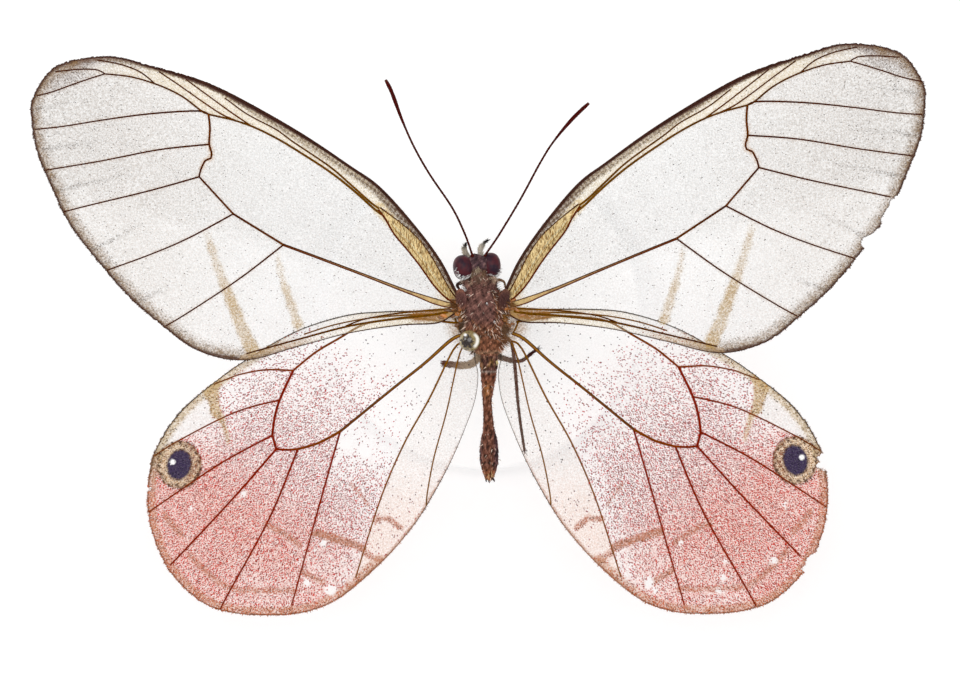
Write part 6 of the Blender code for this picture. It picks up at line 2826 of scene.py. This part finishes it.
@dataclass
class Studio:
    """Floor, light and camera."""

    aim: tuple[float, float, float] = (-0.39, -3.89, 25.0)
    frame_width: float = 124.5
    lens: float = 200.0
    sensor: float = 36.0
    sky: float = 0.54
    floor_reach: float = 900.0

    def build(self) -> None:
        """Sets up the studio."""
        scene = bpy.context.scene
        scene.view_settings.view_transform = "Standard"
        world = bpy.data.worlds.new("studio")
        scene.world = world
        world.use_nodes = True
        back = world.node_tree.nodes["Background"]
        back.inputs["Color"].default_value = (1.0, 1.0, 1.0, 1.0)
        back.inputs["Strength"].default_value = self.sky
        finish = Plain("floor", *FLOOR_AND_BASE_COLOURS, 0.9, grain_per_mm=0.3, bump=0.0).material()
        # Painted glow: the floor glows faintly so that the shadows cast on it wash out.
        add_painted_glow(finish)
        corners = np.array([(-1, -1, 0), (1, -1, 0), (1, 1, 0), (-1, 1, 0)]) * self.floor_reach
        floor = shown("floor", mesh_from("floor", corners, [(0, 1, 2, 3)]), finish)
        for name, spot, size, power in LAMPS:
            light = bpy.data.lights.new(name, "AREA")
            light.shape = "DISK"
            light.size = size * MM
            light.energy = power
            lamp = bpy.data.objects.new(name, light)
            lamp.location = Vector(spot) * MM
            way = Vector((0, 0, AXIS_Z)) - Vector(spot)
            lamp.rotation_euler = way.to_track_quat("-Z", "Y").to_euler()
            scene.collection.objects.link(lamp)
        lens = bpy.data.cameras.new("camera")
        lens.lens = self.lens
        lens.sensor_width = self.sensor
        camera = bpy.data.objects.new("camera", lens)
        x, y, z = self.aim
        far = self.frame_width * self.lens / self.sensor
        camera.location = Vector((x, y, z + far)) * MM
        lens.clip_start, lens.clip_end = far * MM * 0.1, far * MM * 10
        scene.collection.objects.link(camera)
        scene.camera = camera


class Finishes:
    """Every material of the model."""

    def __init__(self) -> None:
        """Builds them."""
        self.membrane = Membrane("clear membrane").material()
        self.scales = Painted("wing scales", 0.65, 0.08, 9.0, (0.85, 1.15), 0.1, 0.01).material()
        self.veins = Painted("veins", 0.7, 0.02, 5.0, (0.35, 0.8), 0.35, 0.03).material()
        self.trunks = Painted("straw veins", 0.6, 0.1, 5.0, (0.7, 1.15), 0.4, 0.05).material()
        self.specks = Painted("dust", 0.8, 0.1, 5.0).material()
        self.skin = Painted("skin", 0.75, 0.12, 3.5, (0.6, 1.3), 0.5, 0.08).material()
        self.hair = Painted("body hair", 0.5, 0.12, 6.0, (0.8, 1.2), 0.15, 0.02).material()
        self.eye = CompoundEye("compound eye").material()
        self.pale = Painted("pale skin", 0.7, 0.15, 5.0, (0.7, 1.2), 0.3, 0.03).material()
        self.horn = Painted("horn", 0.5, 0.04, 4.0, (0.6, 1.2), 0.3, 0.02).material()
        self.sclerite = Painted("wing root horn", 0.3, 0.4, 2.5, (0.5, 1.5), 0.6, 0.12, coat=0.2).material()
        self.resin = Resin("clear resin").material()
        self.base = Plain("white base", *FLOOR_AND_BASE_COLOURS, 0.6, bump=0.02).material()
        # Painted glow: the base glows like the floor, washing out the shadows on it.
        add_painted_glow(self.base)
        self.band = Plain("grey band", (190, 190, 192), (186, 186, 188), 0.5, bump=0.02).material()
        steel = Plain("steel rod", (196, 196, 198), (160, 160, 163), 0.32, 1.0, 3.0, (12, 12, 1))
        self.steel = steel.material()


FORE_BITES_RIGHT = (
    ((50.9, 11.2), (50.2, 10.6), (50.0, 9.9), (49.3, 9.0), (48.9, 8.2), (49.0, 7.6)),
    ((48.6, 7.2), (47.6, 6.4), (46.6, 5.9), (46.3, 5.2), (46.6, 4.6)),
    ((45.6, 3.4), (45.0, 2.6), (44.9, 2.0)),
)
HIND_BITES_RIGHT = (
    ((39.2, -17.2), (38.4, -17.9), (38.8, -18.4), (38.3, -18.9), (39.5, -19.6)),
    ((38.1, -29.9), (37.0, -30.6), (36.7, -31.5), (36.2, -32.0), (36.7, -32.6)),
)
HIND_BITES_LEFT = (((39.9, -20.9), (39.2, -21.2), (39.9, -21.6)),)


def main() -> None:
    """Builds the model piece by piece."""
    logging.basicConfig(level=logging.INFO, format="%(name)s %(message)s")
    Studio().build()
    finishes = Finishes()
    trees = Trees()
    Stand().build(finishes)
    for wing in (
        Wing("hindwing_left", WingKind.HIND, -1, (-3.65, -1.7), bites=HIND_BITES_LEFT, seed=11),
        Wing("hindwing_right", WingKind.HIND, 1, (4.1, -1.55), turn=math.radians(0.97), growth=1.01,
             spread=0.7, bites=HIND_BITES_RIGHT, seed=12),
        Wing("forewing_left", WingKind.FORE, -1, (-3.25, 2.1), seed=13),
        Wing("forewing_right", WingKind.FORE, 1, (2.6, 2.15), turn=math.radians(1.86), growth=1.004,
             bites=FORE_BITES_RIGHT, seed=14),
    ):  # fmt: skip
        wing.build(trees, finishes)
    skin = Body().build(trees, finishes)
    Eyes().build(finishes)
    Legs().build(trees, finishes)
    Feelers().build(trees, finishes)
    Tongue().build(trees, finishes)
    Tegulae().build(trees, finishes)
    Sclerites().build(finishes)
    Drop().build(finishes)
    Tufts(skin).build(trees, finishes)
    trees.clear_away()


if __name__ == "__main__":
    main()
